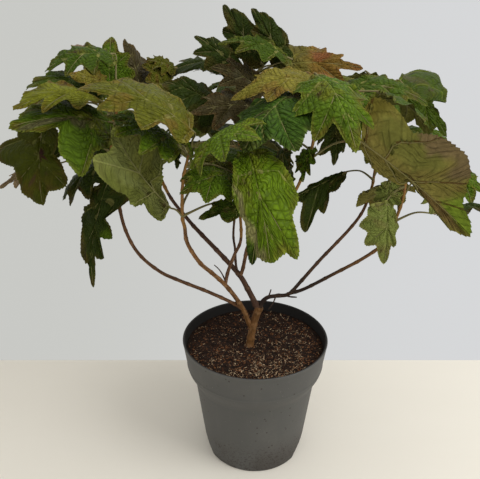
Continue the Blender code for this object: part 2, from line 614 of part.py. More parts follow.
def blade_solid(name, leaf, collection):
    """A blade as a thin closed solid: a fan to an inner ring, then out to every point and bay."""
    corners = corner_angles(leaf)
    inner = corners[::2]
    flat = np.concatenate([[[BLADE_CENTRE, 0.0]], flat_ring(leaf, inner, INNER_RING),
                           flat_ring(leaf, corners, 1.0)])
    first = 1 + len(inner)
    faces = []
    for k in range(len(inner)):
        near, far = 1 + k, 1 + (k + 1) % len(inner)
        a, b, c = first + 2 * k, first + 2 * k + 1, first + (2 * k + 2) % len(corners)
        faces += [(0, near, far), (near, a, b), (near, b, far), (far, b, c)]
    data = bpy.data.meshes.new(name)
    data.from_pydata([tuple(p) for p in laid(flat, leaf)], [], faces)
    blade = mesh_object(name, data, collection)
    thick = blade.modifiers.new("thick", "SOLIDIFY")
    thick.thickness = LEAF_THICKNESS
    thick.offset = 0.0
    bake(blade)
    return blade


def along(points, share):
    """The place a share of the way along a line of points."""
    steps = [np.linalg.norm(b - a) for a, b in zip(points, points[1:])]
    gone = np.concatenate([[0], np.cumsum(steps)])
    return np.array([np.interp(share * gone[-1], gone, [p[i] for p in points]) for i in range(3)])


def stalk_axis(leaf, stem):
    """A leafstalk from the stem's axis, arching up, to a little way into the blade."""
    foot = along(stem, leaf.at)
    neck = np.array(leaf.neck, float) * CM
    crest = (foot + neck) / 2 + np.array([0, 0, STALK_ARCH * np.linalg.norm(neck - foot)])
    arch = [foot * (1 - t) ** 2 + crest * 2 * t * (1 - t) + neck * t * t for t in (0, .5, 1)]
    inside = laid(np.array([[STALK_INTO_BLADE, 0.0]]), leaf)[0]
    return [*arch, inside]


# ---- leaves that follow the stem's rule --------------------------------------------------------
SURVEY_RINGS = 5
SURVEY_TURN = np.arange(-180, 180, 12)
LEAF_APART = 6.0 * MM
LIMB_APART = 5.0 * MM
TRIES = 40
# Lines right through the crown, in cm, that no leaf of the rule crosses.
OPENINGS = (
    ((3.2, -20, 53.6), (9.5, 36, 41.2)), ((5.5, -20, 52.8), (14.4, 36, 39.6)),
    ((4.7, -20, 51.4), (12.7, 36, 36.6)), ((7.4, -20, 52.3), (18.4, 36, 38.5)),
    ((8.5, -20, 53), (20.7, 36, 40)), ((10, -20, 50.6), (23.9, 36, 34.9)),
    ((14.7, -20, 50.5), (34, 36, 34.7)), ((-5.9, -20, 60.4), (-9.9, 36, 55.8)),
    ((-5.1, -20, 60), (-8.2, 36, 54.8)), ((-5.8, -20, 59.4), (-9.6, 36, 53.5)),
    ((-9, -20, 51.6), (-16.5, 36, 37)), ((-8.9, -20, 49.6), (-16.3, 36, 32.7)),
    ((-7.2, -20, 47.9), (-12.6, 36, 29.2)),
    ((6.1, -20, 51.6), (15.6, 36, 37.0)), ((10.0, -20, 60.9), (23.8, 36, 56.7)),
    ((17.4, -20, 56.6), (39.7, 36, 47.7)), ((18.6, -20, 55.6), (42.3, 36, 45.5)),
    ((10.6, -20, 50.6), (25.1, 36, 34.9)),
)


class Survey:
    """A leaf's blade and stalk as points, a tree of its faces and the box that they fill."""

    def __init__(self, leaf, stem):
        shares = [k / SURVEY_RINGS for k in range(1, SURVEY_RINGS + 1)]
        blade = laid(np.concatenate([flat_ring(leaf, SURVEY_TURN, share) for share in shares]), leaf)
        around = len(SURVEY_TURN)
        faces = [(ring * around + k, ring * around + (k + 1) % around,
                  (ring + 1) * around + (k + 1) % around, (ring + 1) * around + k)
                 for ring in range(SURVEY_RINGS - 1) for k in range(around)]
        stalk = stalk_axis(leaf, stem)
        self.points = np.concatenate([blade, [along(stalk, share) for share in np.linspace(0.2, 1, 10)]])
        self.tree = BVHTree.FromPolygons(blade.tolist(), faces)
        self.low = self.points.min(axis=0)
        self.high = self.points.max(axis=0)

    def nears(self, points, apart):
        """Whether any of the points lies within apart of the blade."""
        close = ((points > self.low - apart) & (points < self.high + apart)).all(axis=1)
        return any(self.tree.find_nearest(point, apart)[0] is not None for point in points[close].tolist())

    def clear_of(self, other):
        if (self.low > other.high + LEAF_APART).any() or (other.low > self.high + LEAF_APART).any():
            return True
        if self.tree.overlap(other.tree):
            return False
        return not (self.nears(other.points, LEAF_APART) or other.nears(self.points, LEAF_APART))

    def fills_opening(self):
        """Whether the blade lies across a line that stays open."""
        ends = [metres(line) for line in OPENINGS]
        return any(self.tree.ray_cast(near, far - near)[0] is not None for near, far in ends)


def drawn_leaf(draw, foot, at, heading):
    """A leaf held out from the stem the way heading gives, its blade drooping from a lifted stalk."""
    heading = math.radians(heading + draw.uniform(-35, 35))
    stalk, length = draw.uniform(3.0, 8.0), draw.uniform(8.0, 12.5)
    lift, droop = math.radians(draw.uniform(-5, 60)), math.radians(draw.uniform(-10, 55))
    way = np.array([math.cos(heading), math.sin(heading)])
    neck = foot + stalk * np.array([*(way * math.cos(lift)), math.sin(lift)])
    tip = neck + length * np.array([*(way * math.cos(droop)), -math.sin(droop)])
    return Leaf(at, tuple(neck), tuple(tip), draw.uniform(-25, 25), 45, 12, ("five", "five"))


def whorl_leaves(mass, taken, limbs):
    """Pairs of leaves at right angles up the stem; one that leaves the box or comes close is skipped."""
    rule = mass.whorls
    draw = np.random.default_rng(rule.seed)
    stem = stem_axis(mass)
    low, high = np.array(rule.low) * CM, np.array(rule.high) * CM
    grown = []
    for pair in range(rule.pairs):
        at = (pair + 0.6) / rule.pairs
        foot = along(stem, at) / CM
        for side in (0, 180):
            for _ in range(TRIES):
                leaf = drawn_leaf(draw, foot, at, 90 * pair + side)
                look = Survey(leaf, stem)
                inside = (look.low >= low).all() and (look.high <= high).all()
                free = inside and not look.nears(limbs, LIMB_APART) and not look.fills_opening()
                if free and all(look.clear_of(t) for t in taken):
                    grown.append(leaf)
                    taken.append(look)
                    break
    return grown


def all_leaves():
    """Every mass's leaves by name: those laid by hand, then those that its stem's rule adds."""
    taken = [Survey(leaf, stem_axis(mass)) for mass in MASSES for leaf in mass.leaves]
    axes = [bough_axis(b) for b in BOUGHS] + [stem_axis(m) for m in MASSES]
    limbs = np.array([along(axis, share) for axis in axes for share in np.linspace(0, 1, 40)])
    return {mass.name: (*mass.leaves, *whorl_leaves(mass, taken, limbs)) for mass in MASSES}


def make_mass(mass, leaves, parts):
    """A stem with its leafstalks and blades, joined into one solid."""
    bough = next(b for b in BOUGHS if b.name == mass.bough)
    stem = stem_axis(mass)
    radii = [bough.radii[-1] * MM, STEM_TIP_RADIUS]
    solid = tube(mass.name, stem, radii, STEM_SIDES, parts)
    joined = new_collection(f"{mass.name}_sprays")
    for k, leaf in enumerate(leaves):
        blade_solid(f"blade_{k}", leaf, joined)
        tube(f"stalk_{k}", stalk_axis(leaf, stem), STALK_RADII, STALK_SIDES, joined)
    union = solid.modifiers.new("join", "BOOLEAN")
    union.operation = "UNION"
    union.solver = "MANIFOLD"
    union.operand_type = "COLLECTION"
    union.collection = joined
    bake(solid)
    for obj in list(joined.objects):
        bpy.data.objects.remove(obj, do_unlink=True)
    bpy.data.collections.remove(joined)
    one_body(solid)
    solid.data.materials.clear()
    solid.data.materials.append(material(f"foliage_{mass.name}", mass.colour, 0.65))
    return solid


def main():
    clear_scene()
    parts = new_collection("potted_hydrangea")
    cutters = new_collection("cutters")
    make_pot(parts, cutters)
    make_compost(parts)
    for k, bough in enumerate(BOUGHS):
        make_bough(bough, BOUGHS[:k], parts)
    leaves = all_leaves()
    for mass in MASSES:
        make_mass(mass, leaves[mass.name], parts)


main()
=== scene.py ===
"""Oakleaf hydrangea in a five litre grower pot: every leaf, limb and crumb, in a plain studio.

Metres, +Z up; the origin is the centre of the pot's flat underside and the plant's fuller side
faces -Y. Places on the plant are written in centimetres, as in the part's source, and leaves
grow by the same rule, so each blade, stalk and stem here lies on its own solid.
"""
import logging
import math
from collections.abc import Callable, Iterable
from dataclasses import dataclass, field, replace
from enum import Enum

import bpy
import numpy as np
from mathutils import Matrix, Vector
from mathutils.bvhtree import BVHTree


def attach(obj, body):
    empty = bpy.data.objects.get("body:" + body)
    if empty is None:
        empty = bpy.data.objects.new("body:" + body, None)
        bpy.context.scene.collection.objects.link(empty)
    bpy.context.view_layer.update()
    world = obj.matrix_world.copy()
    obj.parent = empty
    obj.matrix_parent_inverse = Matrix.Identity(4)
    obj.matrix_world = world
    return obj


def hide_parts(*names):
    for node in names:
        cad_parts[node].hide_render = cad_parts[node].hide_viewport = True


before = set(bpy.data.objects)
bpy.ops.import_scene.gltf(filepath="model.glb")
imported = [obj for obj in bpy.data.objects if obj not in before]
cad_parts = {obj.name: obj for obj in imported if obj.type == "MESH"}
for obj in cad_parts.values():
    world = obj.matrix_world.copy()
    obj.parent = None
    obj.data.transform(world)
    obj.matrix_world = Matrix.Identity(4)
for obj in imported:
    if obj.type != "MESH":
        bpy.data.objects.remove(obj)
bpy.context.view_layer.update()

CM = 0.01
MM = 0.001
GAP = 0.3 * MM
Array = np.ndarray
Colour = tuple[float, float, float]

# ---- the plant's layout ----
BLADE_CENTRE = 0.42
STALK_INTO_BLADE = 0.09
STALK_ARCH = 0.25
POINTED = 1.25
EDGE_CURL = 0.15
CURL_POWER = 2.2
FOLD_ROUND = 0.03
FLATTEST_SAG = 0.5
WAVE = 0.09
FOLD_EASE = 0.05
WAVES = 3
BEND_SPAN = (-0.3, 1.3)
JOINT_RUN = 4.0 * MM
STEM_TIP_RADIUS = 1.6 * MM

HALVES = {
    "oak": ((0, .60), (24, .34), (43, .52), (66, .29), (88, .47), (112, .31), (136, .46), (180, .40)),
    "full": ((0, .58), (24, .42), (42, .53), (66, .39), (86, .49), (112, .40), (134, .47), (180, .40)),
    "long": ((0, .62), (24, .34), (40, .42), (66, .27), (92, .36), (120, .29), (143, .40), (180, .41)),
    "young": ((0, .60), (30, .30), (50, .38), (78, .24), (104, .30), (130, .25), (150, .35), (180, .42)),
    "blunt": ((0, .60), (38, .26), (84, .46), (120, .40), (150, .45), (180, .42)),
    "spiky": ((0, .60), (16, .32), (34, .46), (50, .28), (76, .46), (100, .27), (130, .42), (180, .40)),
    "wide": ((0, .58), (20, .40), (60, .46), (118, .33), (146, .62), (180, .42)),
    "torn": ((0, .60), (14, .30), (33, .36), (48, .18), (71, .32), (104, .15), (132, .62), (180, .38)),
    "eaten": ((0, .60), (9, .38), (22, .35), (60, .16), (100, .22), (130, .18), (150, .30), (180, .38)),
    "five": ((0, .60), (28, .36), (52, .50), (84, .33), (118, .48), (180, .40)),
    "hood": ((0, .60), (14, .50), (34, .42), (66, .30), (92, .38), (120, .30), (143, .42), (180, .41)),
    "prow": ((0, .60), (24, .36), (43, .58), (66, .46), (90, .26), (120, .22), (150, .30), (180, .40)),
    "hook": ((0, .58), (12, .42), (40, .45), (90, .17), (160, .34), (180, .40)),
    "duck": ((0, .58), (55, .29), (92, .53), (127, .32), (145, .34), (180, .40)),
    "step": ((0, .60), (28, .24), (52, .42), (74, .53), (98, .34), (180, .40)),
    "flank": ((0, .58), (24, .38), (43, .40), (66, .33), (90, .28), (130, .22), (160, .24), (180, .40)),
    "axe": ((0, .58), (22, .46), (38, .72), (86, .27), (108, .33), (136, .26), (156, .47), (180, .42)),
    "spade": ((0, .58), (19, .54), (27, .66), (53, .38), (88, .42), (120, .38), (150, .44), (180, .40)),
    "crest": ((0, .60), (16, .32), (34, .46), (50, .30), (72, .50), (96, .40), (116, .64), (180, .40)),
    "hollow": ((0, .58), (18, .49), (27, .20), (50, .06), (74, .06), (100, .20), (138, .33), (180, .42)),
    "fork": ((0, .58), (18, .45), (49, .84), (56, .43), (69, .50), (92, .18), (149, .28), (180, .42)),
    "spur": ((0, .58), (12, .32), (18, .17), (52, .15), (59, .42), (84, .56), (112, .82), (180, .42)),
}


@dataclass(frozen=True)
class Tone:
    """The colours of one spray's leaves: face, its flushes, its edge, and the felt beneath."""
    face: Colour
    flush: Colour
    edge: Colour
    felt: Colour
    veins: float = 0.5


class Tint(Enum):
    """The tints that are dealt out by spray, from new growth to leaves that turn in autumn; LIT paints a leaf
    lit from behind.
    """
    FRESH = Tone((.100, .165, .006), (.135, .170, .010), (.150, .140, .018), (.150, .155, .040), .60)
    GREEN = Tone((.082, .142, .007), (.132, .144, .011), (.144, .110, .017), (.162, .162, .043), .55)
    MOSS = Tone((.055, .094, .007), (.098, .101, .010), (.117, .091, .016), (.150, .150, .039), .45)
    DEEP = Tone((.026, .041, .004), (.054, .052, .007), (.078, .056, .011), (.101, .101, .029), .35)
    OLIVE = Tone((.108, .114, .010), (.150, .100, .016), (.155, .088, .020), (.135, .125, .034), .45)
    GOLD = Tone((.190, .168, .024), (.185, .112, .022), (.165, .088, .022), (.195, .165, .045), .40)
    BRONZE = Tone((.165, .098, .016), (.190, .062, .022), (.210, .085, .028), (.160, .118, .034), .40)
    PLUM = Tone((.056, .044, .016), (.090, .080, .040), (.110, .060, .018), (.115, .095, .036), .40)
    SILVER = Tone((.155, .185, .040), (.170, .165, .045), (.160, .130, .036), (.175, .190, .055), .20)
    TAWNY = Tone((.110, .121, .013), (.148, .099, .028), (.143, .093, .028), (.235, .205, .050), 1.0)
    ROSE = Tone((.150, .100, .040), (.185, .120, .060), (.210, .130, .080), (.280, .215, .130), .30)
    SHADE = Tone((.040, .048, .002), (.052, .046, .003), (.060, .040, .008), (.080, .085, .020), .15)
    # LIT paints light shining through a leaf from behind: one yellow-green for face and felt alike.
    LIT = Tone((.038, .064, .001), (.044, .056, .001), (.060, .056, .004), (.038, .064, .001), .40)
    SAGE = Tone((.095, .123, .016), (.106, .110, .022), (.134, .123, .034), (.155, .172, .049), .80)
    COOL = Tone((.048, .100, .010), (.062, .104, .012), (.120, .130, .030), (.120, .125, .036), .70)


@dataclass(frozen=True)
class ColourPatch:
    """A patch of another colour: its middle and half sizes on the standard blade, and its turn."""
    at: tuple
    reach: tuple
    colour: Colour
    turn: float = 0.0

    def cover(self, places: Array, blur: Array) -> Array:
        """How far it covers each place: fully inside its ellipse, then fading, its edge moved by blur.

        Args:
            places: Places on the standard blade.
            blur: How far its edge strays at each.

        Returns:
            A share at each place.
        """
        off, turn = places - self.at, math.radians(self.turn)
        one = (off[..., 0] * math.cos(turn) + off[..., 1] * math.sin(turn)) / self.reach[0]
        two = (off[..., 1] * math.cos(turn) - off[..., 0] * math.sin(turn)) / self.reach[1]
        return smooth_step(1.15, .75, np.hypot(one, two) + blur)


@dataclass(frozen=True)
class Leaf:
    """A leaf by where its stalk leaves the stem (0 to 1), its blade's neck and its tip, in cm."""
    at: float
    neck: tuple
    tip: tuple
    roll: float = 0.0
    sag: float = 30.0
    halves: tuple = ("oak", "oak")
    width: tuple = (1.0, 1.0)
    fold: float = 12.0
    tint: Tint = Tint.GREEN

    def arc(self) -> float:
        """The angle that its midrib bends through, in radians."""
        return math.radians(max(self.sag, FLATTEST_SAG))


@dataclass(frozen=True)
class Whorls:
    """Leaves that a stem bears by rule: pairs at right angles up it, kept inside a box in cm."""
    seed: int
    low: tuple
    high: tuple
    pairs: int = 5


@dataclass(frozen=True)
class Bough:
    """A limb by its axis in cm and its radii in mm; it grows out of the limb named parent.

    Weathered names the looks of its root and of its tip, where they aren't its bark's own.
    """
    name: str
    parent: str
    points: tuple
    radii: tuple
    bark: str = "bark_brown"
    weathered: tuple = ()

    def looks(self) -> tuple:
        """The names of its looks at root and tip."""
        return self.weathered or (self.bark, self.bark)


@dataclass(frozen=True)
class Mass:
    """A mass of leaves: the bough it grows on from, its stem in cm, its leaves and their tints."""
    name: str
    bough: str
    stem: tuple
    leaves: tuple
    tints: str
    whorls: Whorls


DEAD = ("bark_black", "bark_black")
BOUGHS = (
    Bough("trunk", "", ((-.8, 0, 18.23), (-.5, 0, 20.5), (0, 0, 23), (.6, 0, 25)), (5.4, 6.0), "bark_tan"),
    Bough("bough_centre_left", "trunk",
          ((-.4, -.1, 20.6), (-1.1, -.3, 22.6), (-1.8, -1, 25), (-3.2, -2, 28), (-4.6, -2.6, 30.2),
           (-6.2, -4, 32.6), (-7.8, -5.6, 35), (-9.2, -7, 38.4), (-9.4, -7.8, 41)), (3.8, 2.4), "bark_tan"),
    Bough("bough_left", "bough_centre_left",
          ((-1.8, -1, 25), (-3.2, -1.2, 26.2), (-7, -1.6, 28.4), (-11.2, -2, 30.5), (-14, -2, 32),
           (-16.8, -2, 34.8), (-18.4, -2, 38.6), (-19, -2, 43.2)), (2.7, 2.3)),
    Bough("bough_centre_top", "bough_centre_left",
          ((-4.5, -2.6, 30), (-4.1, -1.4, 31.6), (-3.2, 0, 33.6), (-2.2, 1, 36)), (2.6, 2.2)),
    Bough("bough_left_back", "trunk",
          ((.5, 0, 24.4), (-.3, 0, 26.2), (-1.2, .6, 27.8), (-2.5, 1, 30), (-5.6, 3, 32.8),
           (-8.2, 4.6, 35), (-10.4, 6, 37), (-13.6, 8.2, 40.6)), (4.8, 2.5), "bark_dark"),
    Bough("bough_centre_right", "bough_left_back",
          ((-2.3, .9, 29.7), (-1.9, .7, 31.2), (-1.6, 0, 33.2), (-1.2, -.8, 35.4), (.2, -1.9, 38.6),
           (3, -2.8, 41.8)), (2.8, 2.4)),
    Bough("bough_back", "bough_left_back",
          ((-2.7, 1.2, 30.1), (-3, 2.2, 31.3), (-3.1, 4, 32.8), (-3.4, 7, 34.2), (-3.1, 10, 37.5)),
          (1.9, 1.8), "bark_dark"),
    Bough("bough_right", "trunk",
          ((.6, 0, 24.3), (1, 0, 25.7), (1.8, 0, 26.6), (3.2, 0, 26.9), (5, 0, 27.2), (6.8, 1, 28.7),
           (9.8, 2, 32), (14, 3.6, 36.1), (16.2, 4.7, 38.8), (17.3, 5.2, 42.2)), (3.4, 2.1),
          "bark_dark", ("bark_black", "bark_brown")),
    Bough("bough_far_right", "bough_right",
          ((4.8, 0, 27.2), (7.2, -1, 28.6), (11, -2.6, 31.8), (14.6, -3.6, 34.6), (17, -4.5, 37.2),
           (17.8, -5, 39.8)), (2.6, 2.2), "bark_brown", ("bark_black", "bark_tan")),
    Bough("dead_twig_left", "bough_centre_left",
          ((-4.3, -2.5, 29.9), (-4.7, -2.5, 31.3), (-5.3, -2.6, 32.5), (-6, -2.7, 33.3)), (1.1, .7),
          "bark_dark"),
    Bough("dead_twig_near", "bough_right",
          ((1.9, 0, 26.6), (2.1, -.2, 27.3), (2.3, -.3, 28.1)), (1.3, .9), "bark_dark", DEAD),
    Bough("dead_twig_low", "bough_right",
          ((3.1, 0, 26.9), (2.7, -.4, 26), (2, -.8, 25)), (1.2, .7), "bark_tan", DEAD),
    Bough("dead_twig_far", "bough_right",
          ((4.2, 0, 27.1), (5, -.8, 27.2), (6.1, -1.2, 27.3)), (1.4, 1.0), "bark_dark", DEAD),
)

OAK = ("oak", "oak")
FULL = ("full", "full")
LONG = ("long", "long")
YOUNG = ("young", "young")

MASSES = (
    Mass("leaves_left", "bough_left",
         ((-19, -2, 46), (-19.3, -2, 49.4), (-18.8, -2, 53), (-18, -2, 54.8)), (
        Leaf(.50, (-26, -6, 54.5), (-26.5, -10, 44.5), 0, 25, ("hook", "duck"), (1., 1.12), fold=3),
        Leaf(.35, (-27, 1, 47.2), (-34.5, -3, 45.2), 50, 20, OAK, (.45, .5)),
        Leaf(.90, (-19, -4, 56), (-26.8, -12, 56.5), -25, 50, ("oak", "hood"), (.45, 1.)),
        Leaf(.75, (-18, -4, 53.5), (-27.5, -12, 54.5), -35, 35, ("step", "hood"), (1.15, .9)),
        Leaf(1.0, (-18.3, 1, 61.3), (-26.2, -3, 59.9), -25, 40, OAK, (.8, 1.1)),
        Leaf(1.0, (-20, 3, 55.5), (-20, 6, 63.5), 0, 10, LONG, (1.1, 1.1)),
        Leaf(.95, (-19.5, 0, 57), (-28.5, -4, 58.3), -20, 40, ("oak", "hood"), (.8, .9)),
        Leaf(1.0, (-18.5, -2, 57.5), (-22.5, -5, 59.5), -50, 30, YOUNG, (1.2, 1.2)),
        Leaf(.10, (-19.5, -2, 46.5), (-22.8, -7, 32), -10, 30, ("torn", "eaten"), (.58, .75)),
        Leaf(.30, (-20, 0, 47.5), (-27.8, 0, 42.6), -20, 30, OAK, (1.1, 1.6)),
    ), "SHADE ROSE OLIVE GREEN MOSS GREEN MOSS GOLD DEEP DEEP", Whorls(11, (-36, -3, 42), (-13, 18, 58))),
    Mass("leaves_left_back", "bough_left_back", ((-16, 10, 46.5), (-16.6, 10, 52), (-16.4, 9, 55)), (
        Leaf(1.0, (-16.5, 7, 55), (-18.5, 9, 63), 10, 20, ("oak", "hood"), (1.1, 1.4)),
        Leaf(1.0, (-12.5, 6, 55.5), (-15.5, 9, 61), -10, 30, OAK, (.7, .7)),
        Leaf(.40, (-17.5, 8, 49.7), (-25, 7.5, 46.7), -40, 40, OAK, (.8, .8)),
        Leaf(1.0, (-11.5, 9, 59), (-15.5, 8, 60.5), -30, 20, OAK, (1.2, 1.2)),
    ), "PLUM OLIVE DEEP OLIVE", Whorls(12, (-34, 4, 39), (-4, 34, 61), 4)),
    Mass("leaves_centre_left", "bough_centre_left",
         ((-9.6, -8, 42.6), (-9.2, -9, 47.6), (-8.2, -9, 51.2)), (
        Leaf(1.0, (-7.5, -9.5, 53.2), (-20, -11, 58.5), -25, 50, OAK, (.62, 1.1)),
        Leaf(.90, (-9.3, -8, 51), (-17.7, -9, 55.8), -10, 30, OAK, (1.2, 1.2)),
        Leaf(.15, (-11, -9, 44), (-16.5, -12, 54.4), 115, 30, ("flank", "axe"), (1.1, 1.)),
        Leaf(.90, (-9.5, -6, 51), (-10.5, -6, 48), -40, 30, YOUNG, (.8, .8)),
        Leaf(1.0, (-7, -10, 51.5), (-.5, -16.5, 54.5), 25, 40, OAK, (1.15, 1.15)),
        Leaf(.95, (-8, -10, 50), (-9, -10, 53.5), 0, 30, YOUNG, (.9, .9)),
        Leaf(.90, (-1.5, -10, 51.5), (1, -18, 40.5), 10, 50, ("spade", "spade"), (.76, .48)),
        Leaf(.80, (-2.5, -9, 48), (-9, -14, 47.5), -20, 50, ("full", "oak"), (.9, 1.)),
        Leaf(.15, (-1.6, -7, 43.6), (-7.4, -9.5, 43), -40, 20, ("blunt", "young"), (.6, .8)),
        Leaf(.80, (-7.5, -7, 49.5), (-2, -8, 47), 30, 30, OAK, (.8, .8)),
    ), "OLIVE GREEN SAGE DEEP FRESH FRESH FRESH GREEN MOSS TAWNY", Whorls(13, (-20, -9, 42), (2, 4, 57))),
    Mass("leaves_centre_top", "bough_centre_top",
         ((-2.4, 3, 41.2), (-2, 4.6, 49.6), (-1, 5, 56.4), (-.2, 5, 58.6)), (
        Leaf(1.0, (-2.5, 5, 59), (-8.6, 8, 63.6), -40, 20, OAK, (.8, .6)),
        Leaf(.70, (-4.5, 4, 53.5), (-13, 4, 58), -45, 40, FULL, (1.2, .5)),
        Leaf(.70, (.5, 1.5, 54.5), (-8.5, -2.5, 54.5), -40, 40, OAK, (.8, .8)),
        Leaf(1.0, (1, 6, 59.5), (-4.6, 9, 67.4), -70, 20, ("long", "hood"), (.8, .65)),
        Leaf(1.0, (4, 4, 59.5), (-.7, 6, 67), -60, 20, ("long", "hood"), (.7, .65)),
        Leaf(.95, (4.5, 3, 60.5), (-5, 1, 63), -30, 40, OAK, (.6, .6)),
        Leaf(.85, (1, 2, 56.5), (-6, 1, 60), -50, 40, OAK, (.8, .8)),
        Leaf(1.0, (2, 6, 59.7), (14.5, 6, 59.4), 45, 20, ("crest", "spiky"), (.65, .9)),
        Leaf(.90, (-4.5, 9, 58), (-11.5, 15, 60), -10, 40, ("prow", "oak"), (1.15, .9)),
    ), "DEEP DEEP PLUM DEEP DEEP MOSS PLUM BRONZE DEEP", Whorls(14, (-16, 2, 44), (16, 22, 62))),
    Mass("leaves_centre_right", "bough_centre_right",
         ((4.4, -3.6, 43.6), (5.6, -4, 46.2), (6.8, -4, 50.4), (7.2, -4, 56.2)), (
        Leaf(.90, (6, -4, 57.5), (-2, -11.5, 51.5), 0, 50, FULL, (1.2, 1.2)),
        Leaf(1.0, (6.5, -5, 59.5), (10, -15, 52.5), 10, 60, OAK, (.85, .85), fold=25),
        Leaf(.50, (12, -8, 52), (23, -17, 43.5), -95, 20, ("hollow", "wide"), (.45, .95)),
        Leaf(1.0, (8.5, -2, 57.5), (-3, -6, 57), -30, 60, LONG, (.7, .7)),
        Leaf(.50, (7, -4, 50.5), (5.5, -6, 46.5), 0, 30, OAK, (.5, 1.)),
        Leaf(.60, (9.5, 0, 55), (10.5, -2, 47.5), 0, 30, OAK, (.55, .9)),
        Leaf(.10, (2, -6, 45.5), (-.5, -8, 50), -50, 30, YOUNG, (.8, .8)),
        Leaf(.10, (4.5, -2, 43), (1.5, -3, 49.5), -60, 30, OAK, (.9, .9)),
        Leaf(1.0, (11.5, -1, 57.5), (14.5, -5, 51.5), 0, 40, OAK, (.8, .8)),
        Leaf(.60, (4, 1.5, 49.3), (2.8, 1, 44.6), 0, 30, OAK, (1.1, 1.2)),
    ), "COOL GREEN TAWNY GOLD GREEN DEEP GOLD DEEP GREEN DEEP", Whorls(15, (0, -9, 42), (24, 8, 58))),
    Mass("leaves_right", "bough_right",
         ((17.6, 5.6, 44), (18, 6.6, 47.8), (18, 7.4, 53.4), (18.2, 7.4, 55.2)), (
        Leaf(.10, (13, 3, 45.4), (4.6, 0, 42.2), -60, 8, ("fork", "young"), (.9, .2)),
        Leaf(.90, (11, 4, 56.7), (23, 2, 55.2), 30, 50, OAK, (.6, .9)),
        Leaf(1.0, (20.3, 8, 57.6), (27.2, 4, 50.3), 30, 20, ("spur", "full"), (1.15, .6)),
        Leaf(.50, (24.5, 3, 46.3), (33.3, 2, 42.8), 40, 40, OAK, (.6, 1.)),
    ), "DEEP MOSS LIT GREEN", Whorls(16, (4, 3, 38), (36, 32, 59), 4)),
    Mass("leaves_far_right", "bough_far_right",
         ((18.4, -5.6, 42.6), (18.6, -6, 45.4), (18.6, -5.6, 48.4)), (
        Leaf(.90, (17, -5, 46.5), (16.5, -6, 42), 0, 30, YOUNG, (1.3, 1.3)),
        Leaf(.70, (16.5, -6, 44), (16, -10, 37), 0, 30, LONG, (.5, 1.15)),
        Leaf(.50, (20.5, -5, 47), (22.5, -7, 42.5), 0, 30, YOUNG, (1.1, 1.1)),
        Leaf(1.0, (19.5, -3, 50), (27.5, -4, 46), 30, 40, OAK, (.8, .8)),
    ), "SILVER SILVER SILVER GREEN", Whorls(17, (12, -9, 37), (34, 6, 50))),
    Mass("leaves_back", "bough_back", ((-3, 12, 40), (-2.4, 15, 47.6), (-1.8, 15, 51.6)), (
        Leaf(.60, (-3, 20, 48), (-10, 30, 45.5), 0, 50),
        Leaf(.70, (0, 19, 49.5), (8.5, 27, 47), 0, 50),
        Leaf(.90, (-2.5, 18, 54.5), (-3.5, 29, 55), 0, 50),
        Leaf(1.0, (1.5, 14, 55), (11, 19, 55), 0, 50),
        Leaf(.90, (-5.5, 17, 53.5), (-13, 26, 50.5), 0, 50),
        Leaf(.30, (-2.5, 14, 46), (4, 14, 43), 30, 50, OAK, (.8, .8)),
    ), "MOSS GREEN DEEP OLIVE MOSS GREEN", Whorls(18, (-18, 10, 36), (18, 35, 58), 4)),
)


# Patches on leaves by number, a hundred times their stem's seed and their place in its mass: most are stains;
# one is a painted reflection and one painted shadow, each marked.
STAINS_AND_PAINTED_LIGHT = {
    1100: (ColourPatch((.42, .04), (.055, .065), (.026, .008, .004)),),
    1102: (ColourPatch((.50, .0), (.40, .30), (.160, .170, .012)),),
    # Painted reflection: a grey-tan band where the blade shows a sheen of the sky.
    1103: (ColourPatch((.60, .07), (.32, .05), (.120, .115, .045)),),
    1104: (ColourPatch((.35, -.40), (.28, .10), (.32, .21, .14)),),
    1108: (ColourPatch((.52, .38), (.13, .15), (.062, .105, .004)),),
    1302: (ColourPatch((.35, .10), (.30, .16), (.150, .160, .036)),
           ColourPatch((.45, -.30), (.30, .14), (.115, .130, .026))),
    1306: (ColourPatch((.62, -.23), (.36, .055), (.205, .195, .070), 31),
           # Painted shadow: a dark green patch along the blade's left margin, which lies in shade.
           ColourPatch((.72, -.36), (.30, .09), (.030, .055, .005), 25)),
    1407: (ColourPatch((.10, .0), (.30, .55), (.125, .105, .018)),
           ColourPatch((.45, -.3), (.22, .12), (.32, .17, .07))),
    1502: (ColourPatch((.53, -.36), (.24, .17), (.205, .152, .070)),
           ColourPatch((.88, -.10), (.19, .16), (.185, .262, .026)),
           ColourPatch((.02, -.31), (.15, .17), (.190, .165, .030)),
           ColourPatch((.33, -.18), (.19, .13), (.200, .200, .045)),
           ColourPatch((.66, .05), (.22, .06), (.200, .140, .045))),
    1602: (ColourPatch((.17, .10), (.15, .04), (.062, .066, .012), 15),),
}


def metres(points: tuple) -> list[Array]:
    """Places in centimetres as arrays in metres."""
    return [np.array(p, float) * CM for p in points]


def unit(vector: Array) -> Array:
    """A vector brought to length one."""
    return vector / np.linalg.norm(vector)


def mass_on(bough: Bough) -> Mass | None:
    """The mass of leaves at a bough's tip, if it bears one."""
    return next((mass for mass in MASSES if mass.bough == bough.name), None)


def bough_under(mass: Mass) -> Bough:
    """The bough that a mass of leaves grows on from."""
    return next(bough for bough in BOUGHS if bough.name == mass.bough)


def joint_direction(bough: Bough, mass: Mass) -> Array:
    """The way the axis runs where a bough ends and its mass's stem begins."""
    return unit(np.array(mass.stem[0], float) - np.array(bough.points[-2], float))


def bough_axis(bough: Bough) -> list[Array]:
    """A bough's axis in metres, straight for a short run before the joint with its mass.

    Args:
        bough: The bough.

    Returns:
        Its points, root first.
    """
    points = metres(bough.points)
    mass = mass_on(bough)
    if mass:
        points.insert(-1, points[-1] - joint_direction(bough, mass) * JOINT_RUN)
    return points


